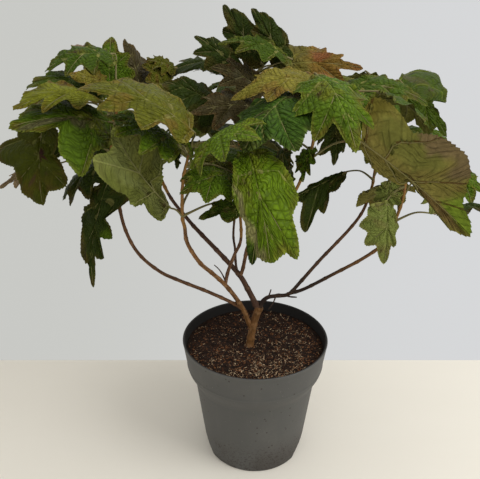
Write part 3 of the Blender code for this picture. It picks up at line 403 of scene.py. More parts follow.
def stem_axis(mass: Mass) -> list[Array]:
    """A mass's stem axis in metres, from a small gap past its bough's tip.

    Args:
        mass: The mass of leaves.

    Returns:
        Its points, from the bough on.
    """
    bough = bough_under(mass)
    tip = metres(bough.points)[-1]
    way = joint_direction(bough, mass)
    return [tip + way * GAP, tip + way * (GAP + JOINT_RUN), *metres(mass.stem)]


def lobed(half: str, degrees: Array, fall: Callable[[Array], Array]) -> Array:
    """How far a half outline reaches from the blade's centre, point to bay and bay to point.

    Args:
        half: The outline's name.
        degrees: Angles off the midrib.
        fall: How the reach falls from 1 to 0 on the way from a point to a bay.

    Returns:
        The reach at each angle, as a share of the blade's length.
    """
    angles, reaches = np.array(HALVES[half], float).T
    k = np.clip(np.searchsorted(angles, degrees, side="right") - 1, 0, len(angles) - 2)
    t = (degrees - angles[k]) / (angles[k + 1] - angles[k])
    t = np.where(reaches[k] > reaches[k + 1], t, 1 - t)
    low, high = np.sort([reaches[k], reaches[k + 1]], axis=0)
    return low + (high - low) * fall(t)


def reach_of(half: str, degrees: Array) -> Array:
    """The reach with straight-sided lobes, which fall as a power of what is left of the way."""
    return lobed(half, degrees, lambda t: (1 - t) ** POINTED)


def bend(flat: Array, leaf: Leaf) -> Array:
    """Bend a flat blade: halves folded down, edge curled and waved, midrib sagging in an arc.

    Args:
        flat: Places on the flat blade, midrib along X from 0 to 1.
        leaf: The leaf whose fold, sag and own wave are used.

    Returns:
        The same places, each lifted off the arc by what fold, curl and wave add up to.
    """
    phase = leaf.neck[0] + 2 * leaf.tip[1]
    x, y = flat.T
    out = np.hypot(x - BLADE_CENTRE, y)
    fold = math.radians(leaf.fold)
    rise = -(np.sqrt(y * y + FOLD_ROUND ** 2) - FOLD_ROUND) * math.sin(fold)
    y = y * (1 - (1 - math.cos(fold)) * np.minimum(1, np.abs(y) / FOLD_EASE))
    rise = rise - EDGE_CURL * (out ** CURL_POWER - BLADE_CENTRE ** CURL_POWER)
    rise = rise + WAVE * out ** 2 * np.sin(WAVES * np.arctan2(y, x - BLADE_CENTRE) + phase)
    sag = leaf.arc()
    turned_by = sag * np.clip(x, *BEND_SPAN)
    return np.stack([np.sin(turned_by) / sag + rise * np.sin(turned_by), y,
                     (np.cos(turned_by) - 1) / sag + rise * np.cos(turned_by)], 1)


def blade_axes(leaf: Leaf) -> Array:
    """Unit axes of a blade: along its chord, across it, and out of its upper side.

    Args:
        leaf: The leaf.

    Returns:
        The three axes, one to a row.
    """
    along_chord = unit(np.array(leaf.tip, float) - np.array(leaf.neck, float))
    level = np.array([-along_chord[1], along_chord[0], 0.0])
    level = unit(level) if level.any() else np.array([0.0, 1.0, 0.0])
    roll = math.radians(leaf.roll)
    across = level * math.cos(roll) + np.cross(along_chord, level) * math.sin(roll)
    return np.stack([along_chord, across, np.cross(along_chord, across)])


def laid(flat: Array, leaf: Leaf) -> Array:
    """Points of a blade of unit length, bent and laid from the leaf's neck to its tip, in metres.

    Args:
        flat: Places on the flat blade.
        leaf: The leaf.

    Returns:
        Each place on the plant.
    """
    bent = bend(flat, leaf)
    sag = leaf.arc()
    chord = np.array([math.sin(sag), math.cos(sag) - 1]) / sag
    tilt = math.atan2(-chord[1], chord[0])
    level = np.array([[math.cos(tilt), 0, -math.sin(tilt)], [0, 1, 0],
                      [math.sin(tilt), 0, math.cos(tilt)]])
    size = np.linalg.norm(np.subtract(leaf.tip, leaf.neck)) / np.linalg.norm(chord)
    return ((bent @ level.T) * size @ blade_axes(leaf) + np.array(leaf.neck, float)) * CM


def by_half(turn: Array, values: Iterable) -> Array:
    """The first value where an angle off the midrib is on the upper side, the second elsewhere."""
    return np.where(turn >= 0, *values)


def flat_place(turn: Array, reach: Array, width: Array) -> Array:
    """Places on the flat blade, at a reach from its centre, each angle in degrees off the midrib."""
    angle = np.radians(turn)
    return np.stack([BLADE_CENTRE + reach * np.cos(angle), reach * np.sin(angle) * width], -1)


def flat_ring(leaf: Leaf, turn: Array, share: float) -> Array:
    """Points of the flat blade at a share of its reach, for angles from -180 to 180 degrees."""
    reach = by_half(turn, (reach_of(half, np.abs(turn)) for half in leaf.halves))
    return flat_place(turn, share * reach, by_half(turn, leaf.width))


def lengths(line: Array) -> Array:
    """How far along a line each of its points lies."""
    return np.concatenate([[0], np.cumsum(np.linalg.norm(np.diff(line, axis=0), axis=1))])


def along(points: list[Array], share: float) -> Array:
    """The place a share of the way along a line of points."""
    gone = lengths(np.array(points))
    return np.array([np.interp(share * gone[-1], gone, [p[i] for p in points]) for i in range(3)])


def stalk_axis(leaf: Leaf, stem: list[Array]) -> list[Array]:
    """A leafstalk from the stem's axis, arching up, to a little way into the blade.

    Args:
        leaf: The leaf.
        stem: The stem's axis in metres.

    Returns:
        Its foot, crest, neck and end, in metres.
    """
    foot = along(stem, leaf.at)
    neck = np.array(leaf.neck, float) * CM
    crest = (foot + neck) / 2 + np.array([0, 0, STALK_ARCH * np.linalg.norm(neck - foot)])
    arch = [foot * (1 - t) ** 2 + crest * 2 * t * (1 - t) + neck * t * t for t in (0, .5, 1)]
    inside = laid(np.array([[STALK_INTO_BLADE, 0.0]]), leaf)[0]
    return [*arch, inside]


SURVEY_RINGS = 5
SURVEY_TURN = np.arange(-180, 180, 12)
STALK_SURVEY = np.linspace(0.2, 1, 10)
LIMB_SURVEY = np.linspace(0, 1, 40)
LEAF_APART = 6.0 * MM
LIMB_APART = 5.0 * MM
TRIES = 40
FIRST_WHORL = 0.6
# Lines in cm that stay open through the crown, from its near side to its far side.
OPENINGS = (
    ((3.2, -20, 53.6), (9.5, 36, 41.2)), ((5.5, -20, 52.8), (14.4, 36, 39.6)),
    ((4.7, -20, 51.4), (12.7, 36, 36.6)), ((7.4, -20, 52.3), (18.4, 36, 38.5)),
    ((8.5, -20, 53), (20.7, 36, 40)), ((10, -20, 50.6), (23.9, 36, 34.9)),
    ((14.7, -20, 50.5), (34, 36, 34.7)), ((-5.9, -20, 60.4), (-9.9, 36, 55.8)),
    ((-5.1, -20, 60), (-8.2, 36, 54.8)), ((-5.8, -20, 59.4), (-9.6, 36, 53.5)),
    ((-9, -20, 51.6), (-16.5, 36, 37)), ((-8.9, -20, 49.6), (-16.3, 36, 32.7)),
    ((-7.2, -20, 47.9), (-12.6, 36, 29.2)), ((6.1, -20, 51.6), (15.6, 36, 37.0)),
    ((10.0, -20, 60.9), (23.8, 36, 56.7)), ((17.4, -20, 56.6), (39.7, 36, 47.7)),
    ((18.6, -20, 55.6), (42.3, 36, 45.5)), ((10.6, -20, 50.6), (25.1, 36, 34.9)),
)
GROWN_TINTS = (Tint.MOSS, Tint.GREEN, Tint.DEEP, Tint.OLIVE, Tint.MOSS)


class Survey:
    """A leaf's blade and stalk as points, a tree of its faces and the box that they fill."""

    def __init__(self, leaf: Leaf, stem: list[Array]) -> None:
        """Survey a leaf that grows on a stem.

        Args:
            leaf: The leaf.
            stem: The stem's axis in metres.
        """
        shares = [k / SURVEY_RINGS for k in range(1, SURVEY_RINGS + 1)]
        blade = laid(np.concatenate([flat_ring(leaf, SURVEY_TURN, share) for share in shares]), leaf)
        around = len(SURVEY_TURN)
        faces = [(ring * around + k, ring * around + (k + 1) % around,
                  (ring + 1) * around + (k + 1) % around, (ring + 1) * around + k)
                 for ring in range(SURVEY_RINGS - 1) for k in range(around)]
        stalk = stalk_axis(leaf, stem)
        self.points = np.concatenate([blade, [along(stalk, share) for share in STALK_SURVEY]])
        self.tree = BVHTree.FromPolygons(blade.tolist(), faces)
        self.low = self.points.min(axis=0)
        self.high = self.points.max(axis=0)

    def nears(self, points: Array, apart: float) -> bool:
        """Whether any of the points lies within apart of the blade."""
        close = points[((points > self.low - apart) & (points < self.high + apart)).all(axis=1)]
        return any(self.tree.find_nearest(point, apart)[0] is not None for point in close.tolist())

    def clear_of(self, other: "Survey") -> bool:
        """Whether two leaves neither cross nor come close.

        Args:
            other: The other leaf's survey.

        Returns:
            True where both have room.
        """
        if (self.low > other.high + LEAF_APART).any() or (other.low > self.high + LEAF_APART).any():
            return True
        if self.tree.overlap(other.tree):
            return False
        return not (self.nears(other.points, LEAF_APART) or other.nears(self.points, LEAF_APART))

    def fills_opening(self) -> bool:
        """Whether the blade lies across a line that stays open through the crown."""
        ends = [metres(line) for line in OPENINGS]
        return any(self.tree.ray_cast(near, far - near)[0] is not None for near, far in ends)


@dataclass(frozen=True)
class Habit:
    """The ranges that leaves grown by rule are drawn from, in degrees and centimetres."""
    swerve: tuple = (-35, 35)
    stalk: tuple = (3.0, 8.0)
    length: tuple = (8.0, 12.5)
    lift: tuple = (-5, 60)
    droop: tuple = (-10, 55)
    roll: tuple = (-25, 25)
    sag: float = 45.0
    halves: tuple = ("five", "five")


HABIT = Habit()


def drawn_leaf(draw: np.random.Generator, foot: Array, at: float, heading: float) -> Leaf:
    """A leaf held out from the stem the way heading gives, its blade drooping from a lifted stalk.

    Args:
        draw: The stem's own run of random numbers.
        foot: Where the stalk leaves the stem, in cm.
        at: The same place as a share of the stem.
        heading: The way out, in degrees about Z.

    Returns:
        The leaf, of the five-lobed outline.
    """
    heading = math.radians(heading + draw.uniform(*HABIT.swerve))
    stalk, length = draw.uniform(*HABIT.stalk), draw.uniform(*HABIT.length)
    lift, droop = math.radians(draw.uniform(*HABIT.lift)), math.radians(draw.uniform(*HABIT.droop))
    way = np.array([math.cos(heading), math.sin(heading)])
    neck = foot + stalk * np.array([*(way * math.cos(lift)), math.sin(lift)])
    tip = neck + length * np.array([*(way * math.cos(droop)), -math.sin(droop)])
    return Leaf(at, tuple(neck), tuple(tip), draw.uniform(*HABIT.roll), HABIT.sag, HABIT.halves)


def whorl_leaves(mass: Mass, taken: list[Survey], limbs: Array) -> list[Leaf]:
    """Pairs of leaves at right angles up the stem; one that finds no room in its tries is skipped.

    Args:
        mass: The mass whose stem bears them.
        taken: Surveys of the leaves that stand already; the new ones are added to it.
        limbs: Points on every limb and stem.

    Returns:
        The leaves that found room.
    """
    rule = mass.whorls
    draw = np.random.default_rng(rule.seed)
    stem = stem_axis(mass)
    low, high = np.array(rule.low) * CM, np.array(rule.high) * CM
    grown = []
    for pair in range(rule.pairs):
        at = (pair + FIRST_WHORL) / rule.pairs
        foot = along(stem, at) / CM
        for side in (0, 180):
            for _ in range(TRIES):
                leaf = drawn_leaf(draw, foot, at, 90 * pair + side)
                look = Survey(leaf, stem)
                inside = (look.low >= low).all() and (look.high <= high).all()
                free = inside and not look.nears(limbs, LIMB_APART) and not look.fills_opening()
                if free and all(look.clear_of(other) for other in taken):
                    tint = GROWN_TINTS[(len(grown) + rule.seed) % len(GROWN_TINTS)]
                    grown.append(replace(leaf, tint=tint))
                    taken.append(look)
                    break
    return grown


def all_leaves() -> dict[str, tuple]:
    """Every mass's leaves by name: those listed, then those that its stem's rule adds.

    Returns:
        The leaves of each mass, with their tints.
    """
    taken = [Survey(leaf, stem_axis(mass)) for mass in MASSES for leaf in mass.leaves]
    axes = [bough_axis(b) for b in BOUGHS] + [stem_axis(m) for m in MASSES]
    limbs = np.array([along(axis, share) for axis in axes for share in LIMB_SURVEY])
    leaves = {}
    for mass in MASSES:
        tints = (Tint[name] for name in mass.tints.split())
        tinted = [replace(leaf, tint=tint) for leaf, tint in zip(mass.leaves, tints)]
        leaves[mass.name] = (*tinted, *whorl_leaves(mass, taken, limbs))
    return leaves


# ---- surfaces ----
@dataclass
class Skin:
    """Closed grids gathered into one mesh, with a colour and a laid-out place at every vertex.

    Each grid is rows by columns: the columns run round and close on themselves, and the first
    and last rows close on a pole that lies in the middle of the row.
    """
    name: str
    points: list = field(default_factory=list)
    colours: list = field(default_factory=list)
    places: list = field(default_factory=list)
    quads: list = field(default_factory=list)
    fans: list = field(default_factory=list)
    count: int = 0

    def add(self, points: Array, colour: Array, place: Array) -> None:
        """Add one closed grid.

        Args:
            points: Rows by columns by 3, in metres, its faces' outward side where rows run
                down an upright wall and columns run anticlockwise seen from above.
            colour: Red, green, blue and a share at every point, or one for all.
            place: The surface's own coordinates at every point.
        """
        rows, columns = points.shape[:2]
        for kept, values in ((self.points, points), (self.colours, colour), (self.places, place)):
            width = np.shape(values)[-1]
            grid = np.broadcast_to(values, (rows, columns, width))
            poles = grid[[0, -1]].mean(1)
            kept.append(np.concatenate([poles[:1], grid.reshape(-1, width), poles[1:]]))
        at = self.count + 1 + np.arange(rows * columns).reshape(rows, columns)
        beside = np.roll(at, -1, axis=1)
        self.quads.append(np.stack([at[:-1], at[1:], beside[1:], beside[:-1]], -1).reshape(-1, 4))
        first = np.full(columns, self.count)
        last = np.full(columns, self.count + rows * columns + 1)
        self.fans.append(np.concatenate([np.stack([first, at[0], beside[0]], -1),
                                         np.stack([last, beside[-1], at[-1]], -1)]))
        self.count += rows * columns + 2

    def add_copies(self, corners: Array, triangles: Array, colours: Array) -> None:
        """Add many copies of one small closed shape.

        Args:
            corners: Copies by corners by 3, in metres.
            triangles: The shape's faces by corner.
            colours: One colour and share for each copy.
        """
        copies, width = corners.shape[:2]
        self.points.append(corners.reshape(-1, 3))
        self.places.append(corners.reshape(-1, 3))
        self.colours.append(np.repeat(colours, width, axis=0))
        starts = self.count + width * np.arange(copies)
        self.fans.append((starts[:, None, None] + triangles[None]).reshape(-1, 3))
        self.count += copies * width

    def build(self, finish: bpy.types.Material, sharp: float = 50.0) -> bpy.types.Object:
        """Make the mesh object and dress it.

        Args:
            finish: Its material.
            sharp: The angle in degrees past which an edge is drawn sharp.

        Returns:
            The object, at the origin.
        """
        quads = np.concatenate([np.zeros((0, 4), int), *self.quads])
        fans = np.concatenate(self.fans)
        mesh = bpy.data.meshes.new(self.name)
        mesh.vertices.add(self.count)
        mesh.vertices.foreach_set("co", np.concatenate(self.points).astype(np.float32).ravel())
        mesh.loops.add(quads.size + fans.size)
        corners = np.concatenate([quads.ravel(), fans.ravel()])
        mesh.loops.foreach_set("vertex_index", corners.astype(np.int32))
        mesh.polygons.add(len(quads) + len(fans))
        starts = np.concatenate([4 * np.arange(len(quads)), quads.size + 3 * np.arange(len(fans))])
        mesh.polygons.foreach_set("loop_start", starts.astype(np.int32))
        mesh.update(calc_edges=True)
        for name, kind, key, values in (("tint", "FLOAT_COLOR", "color", self.colours),
                                        ("lay", "FLOAT_VECTOR", "vector", self.places)):
            layer = mesh.attributes.new(name, kind, "POINT")
            layer.data.foreach_set(key, np.concatenate(values).astype(np.float32).ravel())
        mesh.shade_smooth()
        mesh.set_sharp_from_angle(angle=math.radians(sharp))
        mesh.materials.append(finish)
        return stood(self.name, mesh)


def stood(name: str, data: bpy.types.ID) -> bpy.types.Object:
    """A new object of a name in the scene, at the origin, that shows a mesh, lamp or camera."""
    made = bpy.data.objects.new(name, data)
    bpy.context.scene.collection.objects.link(made)
    return made


def fit(piece: bpy.types.Object, node: str) -> None:
    """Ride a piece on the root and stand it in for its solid.

    Args:
        piece: The piece.
        node: The solid that it replaces.
    """
    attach(piece, "root")
    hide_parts(node)
    logging.info("%s: %d faces for %s", piece.name, len(piece.data.polygons), node)


RIPPLE_SINES = 4
RIPPLE_FADE = 0.55
RIPPLE_SWING = (.6, 1.4)
RIPPLE_PEAK = 2.2
LINE_STEPS = 40


def ripple(points: Array, seed: int, size: float, octaves: int = 3) -> Array:
    """A soft uneven pattern from -1 to 1: sines along seeded ways, halved in size each octave.

    Args:
        points: Any grid of points, the last axis their coordinates.
        seed: Which pattern.
        size: The length of its longest swells.
        octaves: How many sizes are added.

    Returns:
        One value for each point.
    """
    draw = np.random.default_rng(seed)
    total, weight = 0.0, 0.0
    for octave in range(octaves):
        share = RIPPLE_FADE ** octave
        for _ in range(RIPPLE_SINES):
            way = draw.normal(size=points.shape[-1])
            way = unit(way) * 2 * math.pi / (size * 0.5 ** octave) * draw.uniform(*RIPPLE_SWING)
            total = total + share * np.sin(points @ way + draw.uniform(0, 2 * math.pi))
        weight += share * RIPPLE_PEAK
    return np.clip(total / weight, -1, 1)


def mixed(first: Array, second: Array, share: Array) -> Array:
    """First and second blended by a share at each point."""
    share = np.clip(share, 0, 1)[..., None]
    return np.asarray(first) * (1 - share) + np.asarray(second) * share


def with_share(values: Array, share: float) -> Array:
    """Colours or places with one more number, the same at every point."""
    return np.concatenate([values, np.full((*values.shape[:-1], 1), share)], -1)


def swellings(gone: Array, places: Array, width: float) -> Array:
    """Rounded bumps of height one at some places along a line, nothing between them."""
    return np.exp(-((gone[:, None] - places) / width) ** 2).sum(axis=1)


def smooth_step(low: float, high: float, values: Array) -> Array:
    """A share that eases from 0 at low to 1 at high."""
    t = np.clip((values - low) / (high - low), 0, 1)
    return t * t * (3 - 2 * t)


def smooth_line(points: Array, step: float) -> tuple[Array, Array]:
    """A curve through points: a cubic between each pair that heads as its neighbours lie.

    Args:
        points: The points, in metres.
        step: The distance between the places that are read.

    Returns:
        Places at even steps, and for each its number along the points.
    """
    ends = np.concatenate([[2 * points[0] - points[1]], points, [2 * points[-1] - points[-2]]])
    t = np.linspace(0, 1, LINE_STEPS, endpoint=False)[:, None]
    pieces, numbers = [], []
    for k in range(len(points) - 1):
        a, b, c, d = ends[k:k + 4]
        pieces.append(b + .5 * (c - a) * t + (a - 2.5 * b + 2 * c - .5 * d) * t ** 2
                      + (1.5 * b - .5 * a - 1.5 * c + .5 * d) * t ** 3)
        numbers.append(k + t[:, 0])
    line = np.concatenate([*pieces, points[-1:]])
    number = np.concatenate([*numbers, [len(points) - 1]])
    gone = lengths(line)
    even = np.linspace(0, gone[-1], max(4, round(gone[-1] / step) + 1))
    return np.stack([np.interp(even, gone, axis) for axis in line.T], 1), np.interp(even, gone, number)


def cross_axes(line: Array) -> tuple[Array, Array]:
    """Two axes across a line at each place, each pair turned from the last by the least angle.

    Args:
        line: The places along it.

    Returns:
        Both axes at each place.
    """
    ways = np.gradient(line, axis=0)
    ways = ways / np.linalg.norm(ways, axis=1, keepdims=True)
    side = np.cross(ways[0], [0.0, 1.0, 0.0] if abs(ways[0][1]) < .9 else [1.0, 0.0, 0.0])
    sides = []
    for way in ways:
        side = unit(side - way * (side @ way))
        sides.append(side)
    return np.array(sides), np.cross(ways, sides)


def circle(sides: int) -> Array:
    """Cosine and sine of even angles round a circle, falling, so that a tube's faces point outwards."""
    turn = np.linspace(2 * math.pi, 0, sides, endpoint=False)
    return np.stack([np.cos(turn), np.sin(turn)])


def tube_grid(line: Array, radii: Array, sides: int) -> Array:
    """A round tube: at each place along a line, a ring across it of the radius given.

    Args:
        line: The places, in metres.
        radii: The radius at each place, or at each place and angle.
        sides: How many points each ring has.

    Returns:
        Rows by columns by 3.
    """
    one, two = cross_axes(line)
    cosine, sine = circle(sides)[:, None, :, None]
    return line[:, None] + (cosine * one[:, None] + sine * two[:, None]) * radii.reshape(len(line), -1, 1)


def unrolled(gone: Array, radius: float, sides: int) -> Array:
    """A tube's own coordinates, as if it ran straight up Z with one radius all along.

    Args:
        gone: How far along it each ring lies.
        radius: The radius that its pattern is laid out for.
        sides: How many points each ring has.

    Returns:
        Rows by columns by 3.
    """
    ring = np.append(circle(sides) * radius, np.zeros((1, sides)), axis=0).T
    return ring + gone[:, None, None] * np.array([0, 0, 1])


# ---- shader maths ----
def maths(operation: str, swapped: bool = False) -> Callable[..., "Num"]:
    """A method that adds a Math node.

    Args:
        operation: The node's operation.
        swapped: Whether the other value comes first, as in 1 - mask.

    Returns:
        The method, which takes the other value if the operation has two and returns the result.
    """
    def method(self: "Num", *other: object) -> "Num":
        """The result of the operation on this and the other value."""
        values = (*other, self) if swapped else (self, *other)
        return self.graph.node("ShaderNodeMath", {"operation": operation}, dict(enumerate(values)))
    return method


class Num:
    """A socket that stands in sums: each operator adds the Math node that it names."""
    __add__ = __radd__ = maths("ADD")
    __sub__, __rsub__ = maths("SUBTRACT"), maths("SUBTRACT", swapped=True)
    __mul__ = __rmul__ = maths("MULTIPLY")
    __truediv__, __pow__ = maths("DIVIDE"), maths("POWER")
    __lt__, __gt__ = maths("LESS_THAN"), maths("GREATER_THAN")
    __abs__, fraction = maths("ABSOLUTE"), maths("FRACT")
    least, most = maths("MINIMUM"), maths("MAXIMUM")

    def __init__(self, graph: "Graph", socket: bpy.types.NodeSocket) -> None:
        """Wrap an output socket of a graph."""
        self.graph, self.socket = graph, socket

    def eased(self, low: float, high: float) -> "Num":
        """A share that eases from 0 where this is low to 1 where it is high."""
        return self.graph.node("ShaderNodeMapRange", {"interpolation_type": "SMOOTHSTEP"},
                               {"Value": self, "From Min": low, "From Max": high})


class Graph:
    """The nodes of one material, whose only shader is a Principled one."""

    def __init__(self, owner: str | bpy.types.World) -> None:
        """Start an empty material of a name, or empty a world's nodes."""
        self.material = bpy.data.materials.new(owner) if isinstance(owner, str) else owner
        self.material.use_nodes = True
        self.tree = self.material.node_tree
        self.tree.nodes.clear()

    def node(self, kind: str, settings: dict | None = None, inputs: dict | None = None,
             output: int | str = 0) -> Num:
        """Add a node.

        Args:
            kind: Its type.
            settings: Its own settings, set before its sockets.
            inputs: Values or links of its sockets, by name or number.
            output: Which of its outputs is wanted.

        Returns:
            That output.
        """
        made = self.tree.nodes.new(kind)
        for key, value in (settings or {}).items():
            setattr(made, key, value)
        for key, value in (inputs or {}).items():
            if isinstance(value, Num):
                self.tree.links.new(value.socket, made.inputs[key])
            else:
                made.inputs[key].default_value = value
        return Num(self, made.outputs[output])

    def attribute(self, name: str, output: str = "Color") -> Num:
        """One of the mesh's own attributes."""
        return self.node("ShaderNodeAttribute", {"attribute_name": name}, output=output)

    def parts(self, vector: Num) -> tuple[Num, Num, Num]:
        """A vector's three numbers."""
        split = self.node("ShaderNodeSeparateXYZ", inputs={0: vector})
        return tuple(Num(self, socket) for socket in split.socket.node.outputs)

    def place(self) -> Num:
        """The object's own coordinates, in metres."""
        return self.node("ShaderNodeTexCoord", output="Object")

    def stretched(self, vector: Num, scale: tuple) -> Num:
        """Coordinates multiplied along each axis."""
        return self.node("ShaderNodeVectorMath", {"operation": "MULTIPLY"}, {0: vector, 1: scale})

    def noise(self, vector: Num, scale: float, detail: float = 3.0, rough: float = 0.55) -> Num:
        """Cloudy noise from 0 to 1."""
        inputs = {"Vector": vector, "Scale": scale, "Detail": detail, "Roughness": rough}
        return self.node("ShaderNodeTexNoise", inputs=inputs)

    def cells(self, vector: Num, scale: float, feature: str = "F1") -> Num:
        """Distance within a pattern of cells."""
        return self.node("ShaderNodeTexVoronoi", {"feature": feature}, {"Vector": vector, "Scale": scale})

    def mix(self, share: object, first: object, second: object) -> Num:
        """Two colours mixed by a share."""
        first, second = ((*c, 1.0) if isinstance(c, tuple) else c for c in (first, second))
        return self.node("ShaderNodeMix", {"data_type": "RGBA"}, {0: share, 6: first, 7: second}, 2)

    def scaled(self, colour: Num, by: object) -> Num:
        """A colour times a number."""
        return self.node("ShaderNodeVectorMath", {"operation": "SCALE"}, {0: colour, "Scale": by})

    def surface(self, colour: Num, roughness: Num, height: Num, shine: float) -> bpy.types.Material:
        """Finish with the Principled shader.

        Args:
            colour: Its base colour.
            roughness: Its roughness.
            height: The relief that its normal follows, in millimetres.
            shine: Its specular level.

        Returns:
            The finished material.
        """
        relief = self.node("ShaderNodeBump", {}, {"Height": height, "Distance": MM, "Strength": 1.0})
        values = {"Base Color": colour, "Roughness": roughness, "Specular IOR Level": shine, "Normal": relief}
        self.finish(self.node("ShaderNodeBsdfPrincipled", {}, values), "ShaderNodeOutputMaterial")
        return self.material

    def finish(self, shader: Num, kind: str) -> None:
        """Join a shader to an output node."""
        end = self.tree.nodes.new(kind)
        self.tree.links.new(shader.socket, end.inputs["Surface"])


# ---- finishes ----
VEINS = (((0.0, 0.0), (1.02, 0.0)), ((.46, 0.0), (.800, .355)), ((.22, 0.0), (.436, .470)),
         ((.05, 0.0), (.089, .320)), ((.68, 0.0), (.860, .170)))


@dataclass(frozen=True)
class LeafFinish:
    """A hydrangea leaf: main veins to each lobe, side veins off them, and puckered skin between.

    The attribute lay holds the place on a standard blade of unit length, midrib along X, and on Z
    under 0.5 for the face and over 1 for the felt; tint holds the colour, and in alpha how plain
    the veins are.
    """
    vein_width: float = 0.0085
    side_pitch: float = 0.072
    side_slant: float = 0.84
    net_scale: float = 21.0
    face_rough: float = 0.44
    felt_rough: float = 0.85
    pale_vein: Colour = (.22, .23, .07)
    brown_vein: Colour = (.13, .062, .02)
    shine: float = 0.07

    def nearest_vein(self, g: Graph, x: Num, y: Num) -> tuple[Num, Num, Num]:
        """The closest main vein: at each, the distance past its ends is added to that beside it.

        Args:
            g: The material's nodes.
            x: The place along the standard blade's midrib.
            y: The place off it, without its sign.

        Returns:
            How far off the vein is, how far along it the place lies, and on which side of it.
        """
        near, run, flank = None, None, None
        for (fx, fy), (tx, ty) in VEINS:
            length = math.hypot(tx - fx, ty - fy)
            ux, uy = (tx - fx) / length, (ty - fy) / length
            gone = x * ux + y * uy - (fx * ux + fy * uy)
            off = x * -uy + y * ux - (fy * ux - fx * uy)
            past = (gone - length).most(gone * -1.0).most(0.0)
            apart = (off * off + past * past) ** 0.5
            if near is None:
                near, run, flank = apart, gone, off
                continue
            closer = apart < near
            run = run + (gone - run) * closer
            flank = flank + (off - flank) * closer
            near = near.least(apart)
        return near, run, flank

    def build(self) -> bpy.types.Material:
        """Make the material."""
        g = Graph("hydrangea_leaf")
        lay = g.attribute("lay", "Vector")
        x, y, depth = g.parts(lay)
        felt = depth > 0.7
        near, run, flank = self.nearest_vein(g, x, abs(y))
        width = self.vein_width * (1.15 - 0.75 * run.most(0.0).least(1.0))
        main = 1.0 - (near / width).eased(0.45, 1.25)
        row = (run - self.side_slant * near) / self.side_pitch + (flank > 0.0) * 0.5
        crest = abs(row.fraction() - 0.5) * 2.0
        side = crest.eased(0.70, 0.98) * (1.0 - near.eased(0.20, 0.30))
        cell = g.cells(lay, self.net_scale, "DISTANCE_TO_EDGE")
        net = 1.0 - cell.eased(0.01, 0.17)
        place = g.place()
        mottle = g.noise(place, 48.0, 5.0, 0.62)
        grain = g.noise(place, 420.0, 3.0, 0.6)
        plain = g.attribute("tint", "Alpha")
        # The pattern darkens the colour along the side veins and the net of cells, strongly on the face and
        # less on the felt: painted shade in the sunken grooves.
        pattern = (side * 0.66).most(net * (0.62 - 0.42 * felt))
        cloudy = 1.0 + (mottle - 0.5) * (0.50 + plain)
        shade = cloudy * (0.90 + 0.32 * grain + pattern * plain * (0.58 * felt - 0.95))
        flesh = g.scaled(g.attribute("tint"), shade)
        midrib = abs(y) < self.vein_width * 1.5
        brown = felt * plain.eased(0.85, 0.98)
        pale = main * plain * (0.42 + 0.58 * midrib.most(felt * 0.6)) * 1.3
        bright = g.scaled(flesh, 2.0 - 1.4 * brown)
        vein = g.mix(0.55, bright, g.mix(brown, self.pale_vein, self.brown_vein))
        colour = g.mix(pale, flesh, vein)
        pucker = cell.eased(0.0, 0.5) * 0.9 + (1.0 - crest * crest) * near.eased(0.0, 0.05) * 0.45
        sunk = main * 0.8 + side * 0.5 + net * 0.25 - pucker
        height = sunk * (1.5 * felt - 1.0) * (0.15 + 2.1 * plain) + 0.25 * grain
        rough = self.face_rough + (self.felt_rough - self.face_rough) * felt + 0.12 * (mottle - 0.5)
        return g.surface(colour, rough, height, self.shine)


@dataclass(frozen=True)
class BarkFinish:
    """Thin bark over a woody stem: fibres along it, scaly tan flakes and dark cracks.

    The attribute lay holds the stem unrolled straight, in metres, its length on Z.
    """
    name: str
    flakes: float
    flake_colour: Colour = (.42, .24, .11)
    rough: float = 0.78
    shine: float = 0.3

    def build(self) -> bpy.types.Material:
        """Make the material."""
        g = Graph(self.name)
        lay = g.attribute("lay", "Vector")
        tint = g.attribute("tint")
        fibre = g.noise(g.stretched(lay, (1.0, 1.0, 0.10)), 900.0, 4.0, 0.6)
        patch = g.noise(g.stretched(lay, (1.0, 1.0, 0.45)), 190.0, 3.0)
        crack = 1.0 - fibre.eased(0.30, 0.44)
        flake = patch.eased(0.46, 0.62) * self.flakes
        bark = g.scaled(tint, 0.55 + 0.9 * fibre)
        scaly = g.scaled(g.mix(0.5, tint, self.flake_colour), 0.75 + 0.5 * fibre)
        colour = g.mix(crack * 0.75, g.mix(flake, bark, scaly), g.scaled(tint, 0.25))
        height = fibre * 0.35 + flake * 0.30 - crack * 0.25
        return g.surface(colour, self.rough + 0.15 * (patch - 0.5), height, self.shine)


@dataclass(frozen=True)
class StalkFinish:
    """A leafstalk or soft stem: fine lengthwise lines under a short down."""
    blush_colour: Colour = (.19, .075, .035)
    rough: float = 0.6
    shine: float = 0.35

    def build(self) -> bpy.types.Material:
        """Make the material."""
        g = Graph("leafstalk")
        lay = g.attribute("lay", "Vector")
        line = g.noise(g.stretched(lay, (1.0, 1.0, 0.06)), 1500.0, 2.0)
        blush = g.noise(lay, 60.0, 2.0).eased(0.45, 0.75) * 0.5
        colour = g.mix(blush, g.scaled(g.attribute("tint"), 0.7 + 0.6 * line), self.blush_colour)
        return g.surface(colour, self.rough + 0.1 * line, line * 0.12, self.shine)


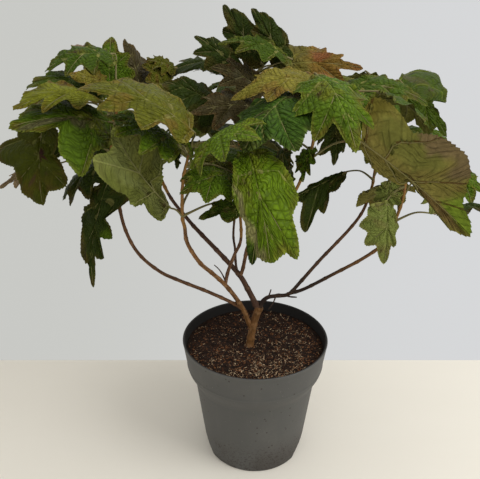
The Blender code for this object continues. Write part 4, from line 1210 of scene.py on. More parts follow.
@dataclass(frozen=True)
class PlasticFinish:
    """Anthracite nursery plastic: a fine moulded grain under dust, scuffs and dried splashes."""
    base: Colour = (.074, .074, .070)
    dust: Colour = (.170, .162, .145)
    scuff: Colour = (.24, .23, .20)
    soil: Colour = (.022, .013, .008)
    inner_dark: Colour = (.007, .006, .005)
    shine: float = 0.45

    def build(self) -> bpy.types.Material:
        """Make the material."""
        g = Graph("anthracite_plastic")
        place = g.place()
        cloud = g.noise(place, 9.0, 5.0, 0.6)
        streak = g.noise(g.stretched(place, (1.0, 1.0, 0.18)), 60.0, 4.0, 0.6)
        speck = g.noise(place, 420.0, 2.0, 0.5)
        grain = g.noise(place, 1800.0, 2.0)
        film = cloud.eased(0.38, 0.72) * 0.26 + streak.eased(0.52, 0.80) * 0.14
        fleck = speck.eased(0.70, 0.76) * 0.55
        low = 1.0 - g.parts(place)[2].eased(0.005, 0.075)
        stain = low * cloud.eased(0.45, 0.6) * 0.5
        splash = (1.0 - g.cells(place, 88.0).eased(0.09, 0.14)) * cloud.eased(0.40, 0.50) * 0.95
        crust = g.noise(place, 300.0, 4.0, 0.7).eased(0.54, 0.60) * low * cloud.eased(0.36, 0.52) * 0.9
        colour = g.mix(film, self.base, self.dust)
        colour = g.mix(fleck, colour, self.scuff)
        colour = g.mix((stain + splash + crust).least(0.85), colour, self.soil)
        # The inner wall and the top of the lip are darkened almost to black, patchily.
        colour = g.mix(g.attribute("tint", "Alpha") * (0.72 + 0.35 * cloud), colour, self.inner_dark)
        rough = 0.44 + 0.30 * cloud + 0.1 * film
        return g.surface(colour, rough, grain * 0.05 + film * 0.1, self.shine)


@dataclass(frozen=True)
class CompostFinish:
    """Moist peat compost: dark crumbs of many browns with a few pale fibres."""
    dark: Colour = (.005, .003, .002)
    brown: Colour = (.036, .015, .007)
    fibre: Colour = (.12, .060, .028)
    shine: float = 0.25

    def build(self) -> bpy.types.Material:
        """Make the material."""
        g = Graph("moist_compost")
        place = g.place()
        lump = g.noise(place, 160.0, 6.0, 0.7)
        cell = g.cells(place, 420.0)
        bit = g.noise(place, 700.0, 2.0)
        colour = g.mix(lump.eased(0.35, 0.65), self.dark, self.brown)
        colour = g.mix(bit.eased(0.62, 0.72) * 0.7, colour, self.fibre)
        return g.surface(colour, 0.88 + 0.1 * lump, lump * 3.0 + cell, self.shine)


@dataclass(frozen=True)
class CrumbFinish:
    """Loose chips and crumbs, each in a colour of its own."""
    shine: float = 0.25

    def build(self) -> bpy.types.Material:
        """Make the material."""
        g = Graph("compost_crumbs")
        grain = g.noise(g.place(), 1400.0, 3.0, 0.6)
        colour = g.scaled(g.attribute("tint"), 0.6 + 0.8 * grain)
        return g.surface(colour, 0.85 + 0.1 * grain, grain * 0.2, self.shine)


@dataclass(frozen=True)
class FloorFinish:
    """A pale painted floor, a little scuffed."""
    paint: Colour = (.835, .800, .715)
    worn: Colour = (.76, .71, .62)
    shine: float = 0.3

    def build(self) -> bpy.types.Material:
        """Make the material."""
        g = Graph("pale_floor")
        wear = g.noise(g.stretched(g.place(), (.5, 2.0, 1.0)), 5.0, 5.0, 0.6)
        colour = g.mix(wear * 0.35, self.paint, self.worn)
        return g.surface(colour, 0.6 + 0.15 * wear, wear * 0.05, self.shine)


# ---- leaves ----
STANDARD_TURN = (0, 24, 43, 66, 88, 112, 136, 180)
LANDMARKS = {"five": (0, 24, 43, 66, 88, 180), "blunt": (0, 66, 88, 112, 136, 180),
             "wide": (0, 24, 66, 112, 136, 180), "hook": (0, 24, 43, 112, 136, 180),
             "duck": (0, 66, 88, 112, 136, 180), "step": (0, 66, 80, 88, 112, 180)}
LOBE_POINT = 0.30
LOBE_BAY = 0.20
FINE_TURNS = 2881
TOOTH = np.array([1.0, 0.5, 0.0])
FAR_OFF = 9.0
NORMAL_STEP = 1e-3
BLOT = (.055, .030, .014)
RIB_COLOUR = (.24, .22, .09)


def landmarks(half: str) -> tuple[list, tuple]:
    """A half outline's own angles, and the standard outline's angles that match them."""
    return [angle for angle, _ in HALVES[half]], LANDMARKS.get(half, STANDARD_TURN)


def rounded(t: Array) -> Array:
    """A cubic from 1 to 0 that leaves a lobe's point and meets its bay at slopes of their own."""
    fall = 2 * t ** 3 - 3 * t ** 2 + 1
    return fall - LOBE_POINT * (t ** 3 - 2 * t ** 2 + t) - LOBE_BAY * (t ** 3 - t ** 2)


def margin_of(half: str, degrees: Array) -> Array:
    """The reach with full, rounded lobes."""
    return lobed(half, degrees, rounded)


@dataclass(frozen=True)
class Blade:
    """One leaf's blade: two skins a thickness apart, lobed and toothed, sunk along its veins."""
    leaf: Leaf
    seed: int
    around: int = 240
    face_rows: int = 14
    felt_rows: int = 7
    crowding: float = 0.9
    thickness: float = 0.4 * MM
    tooth: float = 0.014
    tooth_sizes: tuple = (.3, 1.2)
    last_tooth: float = 172.0
    teeth_fade: float = 30.0
    groove: float = 1.1 * MM
    groove_width: float = 0.018
    puff: float = 2.2 * MM
    puff_width: float = 0.055
    ruffle: float = 1.32 * MM
    ruffles: tuple = ((11, 1.0, 1.0), (19, 2.3, 0.7))
    droop: float = 9.0 * MM
    drooping: tuple = (-.3, .25)
    pucker: float = 0.8 * MM
    pucker_size: float = 0.22
    cloud_size: float = 0.5
    fine_size: float = 0.12
    blot_size: float = 0.16
    blotted: float = 0.8
    flushed: tuple = (.8, .35)
    turned: tuple = (.65, .40)
    # A painted highlight along the margin: how strongly it is mixed in, and what is added to twice the face's
    # colour.
    rim_highlight_share: float = 0.35
    rim_highlight_lift: Colour = (.05, .04, .015)
    rib_rows: int = 9
    rib_sides: int = 6
    rib_radii: tuple = (.95 * MM, .3 * MM)
    side_rib: float = 0.7

    def margin(self, turn: Array) -> Array:
        """Reach of the margin without its teeth, for angles from -180 to 180 degrees."""
        return by_half(turn, (margin_of(half, np.abs(turn)) for half in self.leaf.halves))

    def width(self, turn: Array) -> Array:
        """How much each side is widened."""
        return by_half(turn, self.leaf.width)

    def turns(self) -> Array:
        """Angles round the blade that lie at even steps along its margin."""
        fine = np.linspace(-180, 180, FINE_TURNS)
        angle = np.radians(fine)
        gone = lengths((self.margin(fine) * [np.cos(angle), np.sin(angle) * self.width(fine)]).T)
        return np.interp(np.arange(self.around) / self.around * gone[-1], gone, fine)

    def teeth(self, turn: Array) -> Array:
        """Three steps to a tooth, each rising towards the tip and dropping behind it.

        Args:
            turn: Angles off the midrib.

        Returns:
            How far each angle reaches past the margin.
        """
        draw = np.random.default_rng(self.seed)
        from_tip = np.abs(np.arange(self.around) - int(np.argmin(np.abs(turn))))
        size = draw.uniform(*self.tooth_sizes, self.around)[from_tip // 3 + (turn < 0) * (self.around // 6)]
        fade = np.clip((self.last_tooth - np.abs(turn)) / self.teeth_fade, 0, 1)
        return self.tooth * size * TOOTH[from_tip % 3] * fade

    def grids(self, shares: Array) -> tuple[Array, Array]:
        """Places on the flat blade, and on the standard one, at shares of the reach.

        Args:
            shares: Shares from the blade's centre to its margin, one for each row.

        Returns:
            Two grids of rows by columns by 2.
        """
        turn, rows = self.turns(), shares[:, None]
        reach = self.margin(turn) * rows + self.teeth(turn) * rows ** 6
        there = by_half(turn, (np.interp(np.abs(turn), *landmarks(half)) for half in self.leaf.halves))
        norm = flat_place(there, margin_of("oak", there) * rows, by_half(turn, (1.0, -1.0)))
        return flat_place(turn, reach, self.width(turn)), norm

    def from_standard(self, norm: Array) -> Array:
        """Places on the standard blade carried to this one, still flat.

        Args:
            norm: Places on the standard blade.

        Returns:
            Places on the flat blade.
        """
        x, y = norm[..., 0] - BLADE_CENTRE, norm[..., 1]
        there = np.degrees(np.arctan2(np.abs(y), x))
        share = np.hypot(x, y) / margin_of("oak", there)
        upper, lower = (np.interp(there, *landmarks(half)[::-1]) for half in self.leaf.halves)
        turn = np.where(y >= 0, upper, -lower)
        return flat_place(turn, self.margin(turn) * share, self.width(turn))

    def vein_distance(self, norm: Array) -> Array:
        """Distance of each place on the standard blade from the closest main vein.

        Args:
            norm: Places on the standard blade.

        Returns:
            A distance for each.
        """
        x, y = norm[..., 0], np.abs(norm[..., 1])
        near = np.full(x.shape, FAR_OFF)
        for foot, tip in VEINS:
            way = np.subtract(tip, foot)
            share = np.clip(((x - foot[0]) * way[0] + (y - foot[1]) * way[1]) / (way @ way), 0, 1)
            near = np.minimum(near, np.hypot(x - foot[0] - share * way[0], y - foot[1] - share * way[1]))
        return near

    def relief(self, norm: Array, shares: Array) -> Array:
        """Height off the bent blade: grooves on veins, puffs between, a ruffled edge, drooped lobes.

        Args:
            norm: Places on the standard blade.
            shares: The share of the reach at each row.

        Returns:
            The height at each place, in metres.
        """
        near, outer = self.vein_distance(norm), shares[:, None] ** 4
        angle = np.arctan2(norm[..., 1], norm[..., 0] - BLADE_CENTRE)
        wave = sum(high * np.sin(count * angle + by * self.seed) for count, by, high in self.ruffles)
        reach = self.margin(self.turns())
        lobe = self.droop * np.clip(reach / reach.mean() - 1, *self.drooping)
        puffs = (1 - np.exp(-(near / self.puff_width) ** 2)) * np.clip(1.15 - shares[:, None], 0, 1)
        grooves = np.exp(-(near / self.groove_width) ** 2)
        puckers = ripple(norm, self.seed + 7, self.pucker_size, 2)
        edge = outer * (self.ruffle * wave - lobe)
        return self.puff * puffs - self.groove * grooves + edge + self.pucker * puckers

    def colours(self, norm: Array, shares: Array, felt: bool) -> Array:
        """The tint at each point: face or felt, flushed in patches, turned at the edge, and with a painted
        highlight along the rim.

        Args:
            norm: Places on the standard blade.
            shares: The share of the reach at each row.
            felt: Whether this is the underside.

        Returns:
            Red, green and blue, and how plain the veins are.
        """
        tone, rows = self.leaf.tint.value, shares[:, None]
        cloud = ripple(norm, self.seed + 1, self.cloud_size)
        fine = ripple(norm, self.seed + 2, self.fine_size)
        edge = smooth_step(.80, 1.02, rows + .12 * cloud + .05 * fine)
        # The rim is a painted highlight: a thin pale line along the margin, twice the face's colour lifted a
        # little.
        rim = 2.0 * np.array(tone.face) + self.rim_highlight_lift
        flush = smooth_step(.15, .8, cloud) * self.flushed[felt]
        colour = mixed(tone.felt if felt else tone.face, tone.flush, flush)
        colour = mixed(colour, tone.edge, edge * self.turned[felt])
        colour = mixed(colour, rim, smooth_step(.96, 1.0, rows) * self.rim_highlight_share)
        colour = colour * (1 + .12 * fine[..., None])
        blot = smooth_step(.62, .8, ripple(norm, self.seed + 3, self.blot_size, 2))
        colour = mixed(colour, BLOT, blot * smooth_step(.2, .6, cloud) * self.blotted)
        # Most patches are stains; the one on 1103 is a painted reflection and the second on 1306 painted
        # shadow.
        for stain in STAINS_AND_PAINTED_LIGHT.get(self.seed, ()):
            colour = mixed(colour, stain.colour, stain.cover(norm, .15 * cloud + .10 * fine))
        return with_share(colour, tone.veins)

    def outward(self, own: Array) -> Array:
        """The bent blade's normal at places on the flat one, from steps along and across it.

        Args:
            own: Places on the flat blade.

        Returns:
            A unit vector for each.
        """
        flat = own.reshape(-1, 2)
        steps = np.eye(2) * NORMAL_STEP
        ahead, beside = (laid(flat + step, self.leaf) - laid(flat - step, self.leaf) for step in steps)
        out = np.cross(ahead, beside)
        return (out / np.linalg.norm(out, axis=1, keepdims=True)).reshape(*own.shape[:-1], 3)

    def add_to(self, skin: Skin) -> None:
        """Add the blade as one closed grid: out over the face and back under the felt.

        Args:
            skin: The skin that it's added to.
        """
        face, felt = ((np.arange(1, rows + 1) / rows) ** self.crowding
                      for rows in (self.face_rows, self.felt_rows))
        sides = []
        for shares, under in ((face, False), (felt[::-1], True)):
            own, norm = self.grids(shares)
            base = laid(own.reshape(-1, 2), self.leaf).reshape(*own.shape[:2], 3)
            height = self.relief(norm, shares) + (-.5 if under else .5) * self.thickness
            place = with_share(norm, float(under) + .045 * (self.seed % 11))
            points = base + self.outward(own) * height[..., None]
            sides.append((points, self.colours(norm, shares, under), place))
        skin.add(*(np.concatenate(pair) for pair in zip(*sides)))

    def add_ribs(self, skin: Skin) -> None:
        """Add the midrib and the main side ribs as thin tubes under the blade.

        Args:
            skin: The skin that they're added to.
        """
        colour = (*(0.5 * np.array(self.leaf.tint.value.felt) + 0.5 * np.array(RIB_COLOUR)), 1.0)
        share = np.linspace(0, .96, self.rib_rows)[:, None]
        ribs = [(*VEINS[0], 1, 1.0)]
        ribs += [(foot, tip, side, self.side_rib) for foot, tip in VEINS[1:4] for side in (1, -1)]
        for foot, tip, side, size in ribs:
            norm = (np.array(foot) * (1 - share) + np.array(tip) * share) * [1, side]
            flat = self.from_standard(norm)
            radii = np.linspace(*self.rib_radii, self.rib_rows) * size
            line = laid(flat, self.leaf) - self.outward(flat) * (self.groove + radii * .6)[:, None]
            skin.add(tube_grid(line, radii, self.rib_sides), colour, (0, 0, 0))


@dataclass(frozen=True)
class Foliage:
    """A mass of leaves: its stem grows on from its bough, each leaf on a stalk of its own."""
    mass: Mass
    leaves: tuple
    step: float = 2.0 * MM
    sides: int = 14
    knot: float = 0.28
    knot_width: float = 2.2 * MM
    first_knot: float = 12.0 * MM
    knot_pitch: float = 21.0 * MM
    green_wood: Colour = (.26, .130, .028)
    stalk: Colour = (.17, .15, .055)
    stalk_step: float = 4.0 * MM
    stalk_sides: int = 10
    stalk_numbers: tuple = (0, .25, 1, 2, 3)
    stalk_radii: tuple = (2.4 * MM, 1.6 * MM, 1.2 * MM, 1.1 * MM, 1.4 * MM)
    stalk_sink: float = 1.2 * MM
    stem_pattern: float = 2.0 * MM
    stalk_pattern: float = 1.0 * MM

    def stem_line(self) -> tuple[Array, Array]:
        """The stem's smooth line past its bough's tip, and its radius at each place.

        Returns:
            Places and radii, in metres.
        """
        bough = bough_under(self.mass)
        joint = len(bough.points) - 1
        points = np.array(metres(bough.points + self.mass.stem))
        line, number = smooth_line(points, self.step)
        line, number = line[number >= joint], number[number >= joint]
        start = bough.radii[-1] * MM
        foot = points[joint] - unit(line[1] - line[0]) * GAP
        share = np.concatenate([[0.0], (number - number[0]) / (number[-1] - number[0])])
        return np.concatenate([foot[None], line]), start + (STEM_TIP_RADIUS - start) * share

    def build(self, leaf_finish: bpy.types.Material, stalk_finish: bpy.types.Material) -> None:
        """Make the mass's blades as one piece and its stem, stalks and ribs as another.

        Args:
            leaf_finish: The blades' material.
            stalk_finish: The stem's, stalks' and ribs' material.
        """
        label = self.mass.name.removeprefix("leaves_")
        blades, stalks = Skin(f"blades_{label}"), Skin(f"stalks_{label}")
        stem = stem_axis(self.mass)
        line, radii = self.stem_line()
        gone = np.arange(len(line)) * self.step
        knots = swellings(gone, np.arange(self.first_knot, gone[-1], self.knot_pitch), self.knot_width)
        stalks.add(tube_grid(line, radii * (1 + self.knot * knots), self.sides),
                   (*self.green_wood, 1.0), unrolled(gone, self.stem_pattern, self.sides))
        for number, leaf in enumerate(self.leaves):
            blade = Blade(leaf, self.mass.whorls.seed * 100 + number)
            blade.add_to(blades)
            blade.add_ribs(stalks)
            self.add_stalk(stalks, leaf, stem)
        fit(blades.build(leaf_finish, 60), self.mass.name)
        fit(stalks.build(stalk_finish), self.mass.name)

    def add_stalk(self, skin: Skin, leaf: Leaf, stem: list[Array]) -> None:
        """Add one leafstalk: a smooth arch, thicker where it leaves the stem and meets the blade.

        Args:
            skin: The skin that it's added to.
            leaf: The leaf that it bears.
            stem: The axis that it grows from, in metres.
        """
        points = np.array(stalk_axis(leaf, stem))
        points[-1, 2] -= self.stalk_sink
        line, number = smooth_line(points, self.stalk_step)
        radii = np.interp(number, self.stalk_numbers, self.stalk_radii)
        lay = unrolled(np.arange(len(line)) * self.stalk_step, self.stalk_pattern, self.stalk_sides)
        skin.add(tube_grid(line, radii, self.stalk_sides), (*self.stalk, 1.0), lay)


# ---- limbs ----
BARKS = {"bark_tan": ((.165, .075, .022), .8), "bark_brown": ((.115, .054, .024), .45),
         "bark_dark": ((.070, .034, .020), .25), "bark_black": ((.036, .020, .013), .15)}


@dataclass(frozen=True)
class Branch:
    """A trunk, bough or dead twig: a round limb with nodes, ridged bark and, at its root, a flare."""
    bough: Bough
    seed: int
    sides: int = 20
    step: float = 1.6 * MM
    node_pitch: float = 26.0 * MM
    node_stray: float = 5.0 * MM
    node_swell: float = 0.16
    node_width: float = 2.6 * MM
    ridge: float = 0.03
    bark_radius: float = 4.0 * MM
    flare: float = 0.45
    flare_height: float = 9.0 * MM
    root_depth: float = 6.0 * MM
    ageing: tuple = (.25, .70)
    mottle: float = 0.35

    def line(self) -> tuple[Array, Array]:
        """The limb's smooth line, which heads on into its mass's stem, and its radius all along.

        Returns:
            Places and radii, in metres.
        """
        points, mass = metres(self.bough.points), mass_on(self.bough)
        last = len(points) - 1
        if self.bough.name == "trunk":
            points[0] = points[0] - unit(points[1] - points[0]) * self.root_depth
        line, number = smooth_line(np.array(points + metres(mass.stem if mass else ())), self.step)
        line = np.concatenate([line[number < last], [points[last]]])
        share = np.append(number[number < last], last) / last
        root, tip = self.bough.radii
        return line, (root + (tip - root) * share) * MM

    def swell(self, gone: Array) -> Array:
        """How much wider it is all along: a bump at each node and, on the trunk, a flare at the foot.

        Args:
            gone: How far along it each place lies.

        Returns:
            A factor on the radius at each.
        """
        draw = np.random.default_rng(self.seed)
        places = np.arange(self.node_pitch * .6, gone[-1], self.node_pitch)
        places = places + draw.uniform(-1, 1, len(places)) * self.node_stray
        flare = self.flare * np.exp(-gone / self.flare_height) * (self.bough.name == "trunk")
        return 1 + self.node_swell * swellings(gone, places, self.node_width) + flare

    def build(self, finish: bpy.types.Material) -> None:
        """Make the limb as one piece in its own bark.

        Args:
            finish: Its material.
        """
        line, radii = self.line()
        gone = np.arange(len(line)) * self.step
        lay = unrolled(gone, self.bark_radius, self.sides)
        ridges = ripple(lay * [1, 1, .25], self.seed, 6 * MM) + .5 * ripple(lay, self.seed + 1, 3 * MM)
        old, young = (BARKS[look][0] for look in self.bough.looks())
        tone = mixed(old, young, smooth_step(*self.ageing, gone / gone[-1]))[:, None]
        patch = ripple(lay * [1, 1, .5], self.seed + 2, 30 * MM)[..., None]
        colour = with_share(np.clip(tone * (1 + self.mottle * patch), 0, 1), 1.0)
        skin = Skin(f"limb_{self.bough.name}")
        radii = (radii * self.swell(gone))[:, None] * (1 + self.ridge * ridges)
        skin.add(tube_grid(line, radii, self.sides), colour, lay)
        fit(skin.build(finish), self.bough.name)


# ---- pot and compost ----
def turned(reach: Array, height: Array, sides: int) -> Array:
    """A grid turned about Z from a radius and height for each row, its columns anticlockwise.

    Args:
        reach: The radius of each row, or of each row and column.
        height: The height of each row.
        sides: How many columns it has.

    Returns:
        Rows by columns by 3.
    """
    turn = np.linspace(0, 2 * math.pi, sides, endpoint=False)
    reach = reach.reshape(len(height), -1)
    heights = np.repeat(height[:, None], sides, axis=1)
    return np.stack([reach * np.cos(turn), reach * np.sin(turn), heights], -1)


@dataclass(frozen=True)
class Pot:
    """A blow-moulded grower pot: rounded lip, deep collar with a witness line, ledge, tapered body."""
    height: float = 200.0 * MM
    rim: float = 112.5 * MM
    collar: float = 106.5 * MM
    collar_foot: float = 158.0 * MM
    ledge: float = 94.5 * MM
    ledge_foot: float = 126.0 * MM
    foot: float = 79.0 * MM
    lip: float = 3.0 * MM
    lip_rise: float = 1.5 * MM
    wall: float = 1.8 * MM
    floor: float = 3.0 * MM
    heel: float = 11.5 * MM
    heel_top: float = 24.0 * MM
    hollow: float = 1.2 * MM
    line_height: float = 0.8 * MM
    line_width: float = 1.2 * MM
    headings: tuple = (-12, 184)
    flat_depth: float = 9.5 * MM
    flat_lean: float = 11.5 / 22.0
    press: float = 0.35 * MM
    oval: float = 0.0015
    oval_turn: float = 0.6
    around: int = 216
    lip_steps: int = 11
    inner_runs: tuple = ((.003, .024, 6), (.030, .176, 12), (.178, .1984, 10))
    outer_runs: tuple = ((.1981, .166, 10), (.1635, .152, 10), (.150, .124, 14), (.120, .004, 26))
    foot_runs: tuple = (.0015, .0006, 0.0)

    def outside(self, z: Array) -> Array:
        """The outer radius at each height: collar, eased ledge, body, and a line under the collar.

        Args:
            z: Heights, in metres.

        Returns:
            A radius for each.
        """
        t = np.clip((self.collar_foot - z) / (self.collar_foot - self.ledge_foot), 0, 1)
        eased = self.collar + (self.ledge - self.collar) * (1 - np.cos(t * math.pi)) / 2
        up = (z - self.collar_foot) / (self.height - self.collar_foot)
        collar = self.collar + (self.rim - self.collar) * up
        body = self.foot + (self.ledge - self.foot) * z / self.ledge_foot
        radius = np.where(z > self.collar_foot, collar, np.where(z > self.ledge_foot, eased, body))
        return radius + self.line_height * np.exp(-((z - self.collar_foot) / self.line_width) ** 2)

    def inside(self, z: Array) -> Array:
        """The inner radius at each height.

        Args:
            z: Heights, in metres.

        Returns:
            A radius for each.
        """
        up = np.clip((z - self.collar_foot) / (self.height - self.collar_foot), 0, 1)
        inner = self.outside(z) - (self.wall + (self.lip - self.wall) * up)
        in_heel = np.clip((z - self.floor) / (self.heel_top - self.floor), 0, 1)
        heel = self.foot - self.heel + self.heel * in_heel
        return np.where(z < self.heel_top, np.minimum(heel, inner), inner)

    def profile(self) -> Array:
        """Radius and height from the inner floor's middle, up, over the lip and down to the foot.

        Returns:
            Pairs of radius and height.
        """
        up = np.concatenate([np.linspace(*run) for run in self.inner_runs])
        inner = np.stack([self.inside(up), up], 1)
        turn = np.linspace(0, math.pi, self.lip_steps)
        middle = (self.rim - self.lip / 2, self.height - self.lip_rise)
        bead = middle + np.stack([np.cos(turn) * -.5 * self.lip, np.sin(turn) * self.lip_rise], 1)
        down = np.concatenate([*(np.linspace(*run) for run in self.outer_runs), self.foot_runs])
        outer = np.stack([self.outside(down), down], 1)
        outer[-2:, 0] -= .5 * MM, 1.2 * MM
        base = [(self.foot * .93, 0.0), (self.foot * .90, self.hollow), (self.foot * .3, self.hollow)]
        return np.concatenate([[(self.foot * .4, self.floor)], inner, bead, outer, base])

    def build(self, finish: bpy.types.Material) -> None:
        """Turn the profile about Z, pressed flat low down at each heading.

        Args:
            finish: Its material.
        """
        radius, height = self.profile().T
        turn = np.linspace(0, 2 * math.pi, self.around, endpoint=False)
        reach = np.repeat(radius[:, None], self.around, axis=1)
        plane = self.foot - self.flat_depth + height[:, None] * self.flat_lean
        for heading in self.headings:
            facing = np.cos(turn - math.radians(heading))
            limit = plane / np.maximum(facing, 1e-3)
            soft = self.press * np.log1p(np.exp(-np.abs(reach - limit) / self.press))
            reach = np.where(facing > .1, np.minimum(reach, limit) - soft, reach)
        up = np.clip(height / self.height, 0, 1)[:, None]
        points = turned(reach * (1 + self.oval * np.sin(2 * turn + self.oval_turn) * up), height, self.around)
        # Rows from the inner floor up to just past the lip's top, which the plastic darkens almost to black.
        inner_rows = np.arange(len(height)) <= np.argmax(height) + 1
        skin = Skin("pot_shell")
        skin.add(points, np.broadcast_to(inner_rows[:, None, None], (*reach.shape, 4)), points)
        fit(skin.build(finish, 40), "pot")


@dataclass(frozen=True)
class Bits:
    """Loose bits of one kind, each with eight sides, its size in mm and its colour between two.

    Gather says how far they keep to the patch in front of the stem, from 0 to 1.
    """
    count: int
    shape: tuple
    sizes: tuple
    dark: Colour
    pale: Colour
    lean: float = 0.4
    gather: float = 0.0


CRUMBS = Bits(2200, (.9, .8, .7), (.5, 1.9), (.008, .004, .003), (.045, .020, .011))
CHIPS = Bits(1100, (1.7, 1.0, .45), (.6, 1.6), (.075, .026, .010), (.24, .10, .038), gather=0.3)
FIBRES = Bits(1900, (2.5, .42, .36), (.45, 1.5), (.17, .085, .040), (.82, .63, .40), 0.75, 1.0)


def rolled(one: Array, two: Array, angle: Array) -> tuple[Array, Array]:
    """Two coordinates of each bit's corners turned by the bit's own angle."""
    cosine, sine = np.cos(angle)[:, None], np.sin(angle)[:, None]
    return one * cosine - two * sine, one * sine + two * cosine


@dataclass(frozen=True)
class Compost:
    """The fill of the pot: a lumpy top a little below the rim, strewn with crumbs, chips and fibres."""
    pot: Pot
    top: float = 182.0 * MM
    sink: float = 0.6 * MM
    crown: float = 1.5 * MM
    level: float = 45.0 * MM
    bank: float = 3.2 * MM
    lumps: tuple = ((5, 26 * MM, 1.1 * MM), (6, 9 * MM, .8 * MM), (8, 4 * MM, .45 * MM))
    rows: int = 46
    around: int = 200
    crowding: float = 0.8
    wall_run: tuple = (.168, .120, 13)
    mid_height: float = 60.0 * MM
    drawn_in: float = 0.84
    tone: tuple = (.03, .016, .01, 1.0)
    seed: int = 31
    tries: int = 5
    bare: float = 3.5 * MM
    patch: tuple = (10.0 * MM, -62.0 * MM)
    patch_reach: float = 48.0 * MM
    right_from: float = 20.0 * MM
    on_right: float = 0.08
    anywhere: float = 0.06

    def surface(self, x: Array, y: Array) -> Array:
        """Height of the compost: level round the stem, banked up at the wall, lumpy all over.

        Args:
            x: Places across.
            y: Places from near to far.

        Returns:
            A height for each.
        """
        flat, out = np.stack([x, y], -1), np.hypot(x, y)
        rise = (self.bank - self.crown) * smooth_step(self.level, self.edge(), out)
        lumps = sum(height * ripple(flat, seed, size) for seed, size, height in self.lumps)
        return self.top - self.sink + rise + lumps * smooth_step(self.edge() + MM, self.edge() - 5 * MM, out)

    def edge(self) -> float:
        """Where the top meets the pot's wall."""
        return float(self.pot.inside(np.array(self.top - self.crown))) - GAP

    def build(self, finish: bpy.types.Material) -> None:
        """Make the fill as one closed turned piece.

        Args:
            finish: Its material.
        """
        out = np.linspace(.02, 1, self.rows) ** self.crowding * self.edge()
        top = turned(out, np.zeros(self.rows), self.around)
        top[..., 2] = self.surface(top[..., 0], top[..., 1])
        low = np.array([self.top - self.crown - 4 * MM, *np.linspace(*self.wall_run), self.mid_height,
                        self.pot.heel_top, self.pot.floor + GAP])
        side = turned(self.pot.inside(low) - GAP, low, self.around)
        side[-2:, :, :2] *= self.drawn_in
        skin = Skin("compost_fill")
        points = np.concatenate([top, side])
        skin.add(points, self.tone, points)
        fit(skin.build(finish, 80), "compost")

    def strewn(self, draw: np.random.Generator, bits: Bits) -> Array:
        """Places for bits of one kind: spread evenly, thinned out where they don't gather.

        Args:
            draw: The run of random numbers.
            bits: The kind.

        Returns:
            At most as many places as the kind has bits, in metres.
        """
        reach = self.edge() - self.bare
        spread = draw.uniform(-1, 1, (bits.count * self.tries, 2)) * reach
        away = np.hypot(*(spread - self.patch).T)
        dense = np.exp(-away / self.patch_reach) + self.on_right * (spread[:, 0] > self.right_from)
        dense = dense + self.anywhere
        share = (1 - bits.gather) + bits.gather * dense * (.6 + .7 * ripple(spread, 12, 30 * MM))
        kept = draw.uniform(0, 1, len(spread)) < share
        return spread[kept & (np.hypot(*spread.T) < reach)][:bits.count]

    def build_crumbs(self, finish: bpy.types.Material) -> None:
        """Strew crumbs, bark chips and pale fibres over the top, each an eight-sided bit.

        Args:
            finish: Their material.
        """
        draw = np.random.default_rng(self.seed)
        corners = np.array([(1, 0, 0), (-1, 0, 0), (0, 1, 0), (0, -1, 0), (0, 0, 1), (0, 0, -1)], float)
        triangles = np.array([(0, 2, 4), (2, 1, 4), (1, 3, 4), (3, 0, 4),
                              (2, 0, 5), (1, 2, 5), (3, 1, 5), (0, 3, 5)])
        skin = Skin("compost_crumbs")
        for bits in (CRUMBS, CHIPS, FIBRES):
            x, y = self.strewn(draw, bits).T
            count = len(x)
            size = draw.uniform(*bits.sizes, count) * MM
            spin, lean = draw.uniform(0, 2 * math.pi, count), draw.uniform(-bits.lean, bits.lean, count)
            jags = draw.uniform(.65, 1.25, (count, 6, 1))
            jx, jy, jz = np.moveaxis(corners * np.array(bits.shape) * jags * size[:, None, None], -1, 0)
            jx, jz = rolled(jx, jz, lean)
            jx, jy = rolled(jx, jy, spin)
            middle = np.stack([x, y, self.surface(x, y) + .3 * size], -1)
            shade = mixed(bits.dark, bits.pale, draw.uniform(0, 1, count) ** 1.6)
            skin.add_copies(middle[:, None] + np.stack([jx, jy, jz], -1), triangles, with_share(shade, 1.0))
        fit(skin.build(finish, 30), "compost")


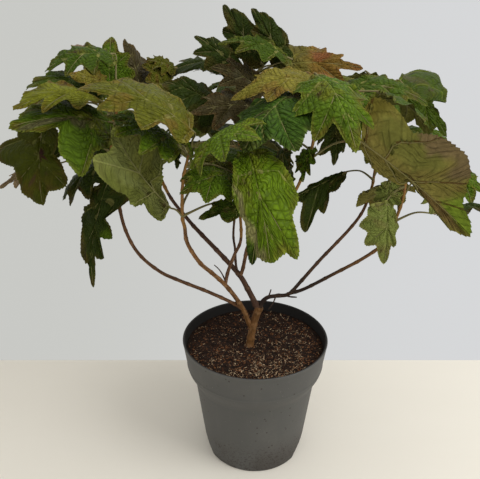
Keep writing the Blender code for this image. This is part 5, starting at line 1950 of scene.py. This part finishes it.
# ---- studio ----
@dataclass(frozen=True)
class Studio:
    """A pale floor that ends behind the pot, a light grey surround and a soft light from the right."""
    eye: tuple = (-0.0235, -0.697, 0.6455)
    tilt: float = 67.8
    lens: float = 39.0
    sensor: float = 36.0
    floor_near: float = -2.0
    floor_side: float = 2.5
    floor_back: float = 0.216
    floor_deep: float = 0.02
    # The wall seen by the eye is painted darker at the left and lighter at the right, as light falls from the
    # right.
    wall_left: Colour = (.580, .585, .560)
    wall_right: Colour = (.675, .684, .695)
    sky: tuple = (.30, .50, .86)
    sky_colour: tuple = (1.0, .985, .955, 1.0)
    light_at: tuple = (1.1, -0.6, 1.6)
    light_aim: tuple = (0.0, 0.0, 0.35)
    light_size: float = 1.0
    light_power: float = 17.0

    def build(self, finish: bpy.types.Material) -> None:
        """Make the floor, the surround, the light and the camera.

        Args:
            finish: The floor's material.
        """
        scene = bpy.context.scene
        scene.view_settings.view_transform = "Standard"
        scene.world = self.surround()
        self.lay_floor(finish)
        lamp = bpy.data.lights.new("soft_light", "AREA")
        lamp.size, lamp.energy = self.light_size, self.light_power
        light = stood("soft_light", lamp)
        light.location = self.light_at
        aim = Vector(self.light_aim) - Vector(self.light_at)
        light.rotation_euler = aim.to_track_quat("-Z", "Y").to_euler()
        camera = bpy.data.cameras.new("camera")
        camera.lens, camera.sensor_width = self.lens, self.sensor
        scene.camera = stood("camera", camera)
        scene.camera.location = self.eye
        scene.camera.rotation_euler = (math.radians(self.tilt), 0, 0)

    def lay_floor(self, finish: bpy.types.Material) -> None:
        """Make the floor as a thin slab, its top at height zero.

        Args:
            finish: Its material.
        """
        near, side, back = self.floor_near, self.floor_side, self.floor_back
        mesh = bpy.data.meshes.new("floor")
        corners = [(x, y, z) for z in (0, -self.floor_deep)
                   for x, y in ((-side, near), (side, near), (side, back), (-side, back))]
        walls = [(k, k + 4, (k + 1) % 4 + 4, (k + 1) % 4) for k in range(4)]
        mesh.from_pydata(corners, [], [(0, 1, 2, 3), (7, 6, 5, 4), *walls])
        mesh.materials.append(finish)
        stood("floor", mesh)

    def surround(self) -> bpy.types.World:
        """A light grey wall to the eye, and soft light that is strongest from overhead.

        Returns:
            The world, its light rising from below, over the skyline, to straight up.
        """
        world = bpy.data.worlds.new("surround")
        g = Graph(world)
        across, _, up = g.parts(g.node("ShaderNodeTexCoord", output="Generated"))
        # Painted light: the wall goes from darker at the left to lighter at the right.
        wall = g.mix(across.eased(-0.40, 0.45), self.wall_left, self.wall_right)
        low, level, high = self.sky
        strength = low + (level - low) * up.eased(-0.6, 0.05) + (high - level) * up.eased(0.0, 0.9)
        lit = g.node("ShaderNodeBackground", {}, {"Color": self.sky_colour, "Strength": strength})
        seen = g.node("ShaderNodeBackground", {}, {"Color": wall})
        direct = g.node("ShaderNodeLightPath", output="Is Camera Ray")
        g.finish(g.node("ShaderNodeMixShader", {}, {0: direct, 1: lit, 2: seen}), "ShaderNodeOutputWorld")
        return world


def main() -> None:
    """Build the studio, pot, compost, limbs and leaves."""
    logging.basicConfig(level=logging.INFO, format="%(message)s")
    Studio().build(FloorFinish().build())
    pot = Pot()
    pot.build(PlasticFinish().build())
    compost = Compost(pot)
    compost.build(CompostFinish().build())
    compost.build_crumbs(CrumbFinish().build())
    barks = {name: BarkFinish(name, flakes).build() for name, (_, flakes) in BARKS.items()}
    for number, bough in enumerate(BOUGHS):
        Branch(bough, 40 + number).build(barks[bough.looks()[0]])
    leaf_finish, stalk_finish = LeafFinish().build(), StalkFinish().build()
    leaves = all_leaves()
    for mass in MASSES:
        Foliage(mass, leaves[mass.name]).build(leaf_finish, stalk_finish)
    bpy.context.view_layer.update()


if __name__ == "__main__":
    main()
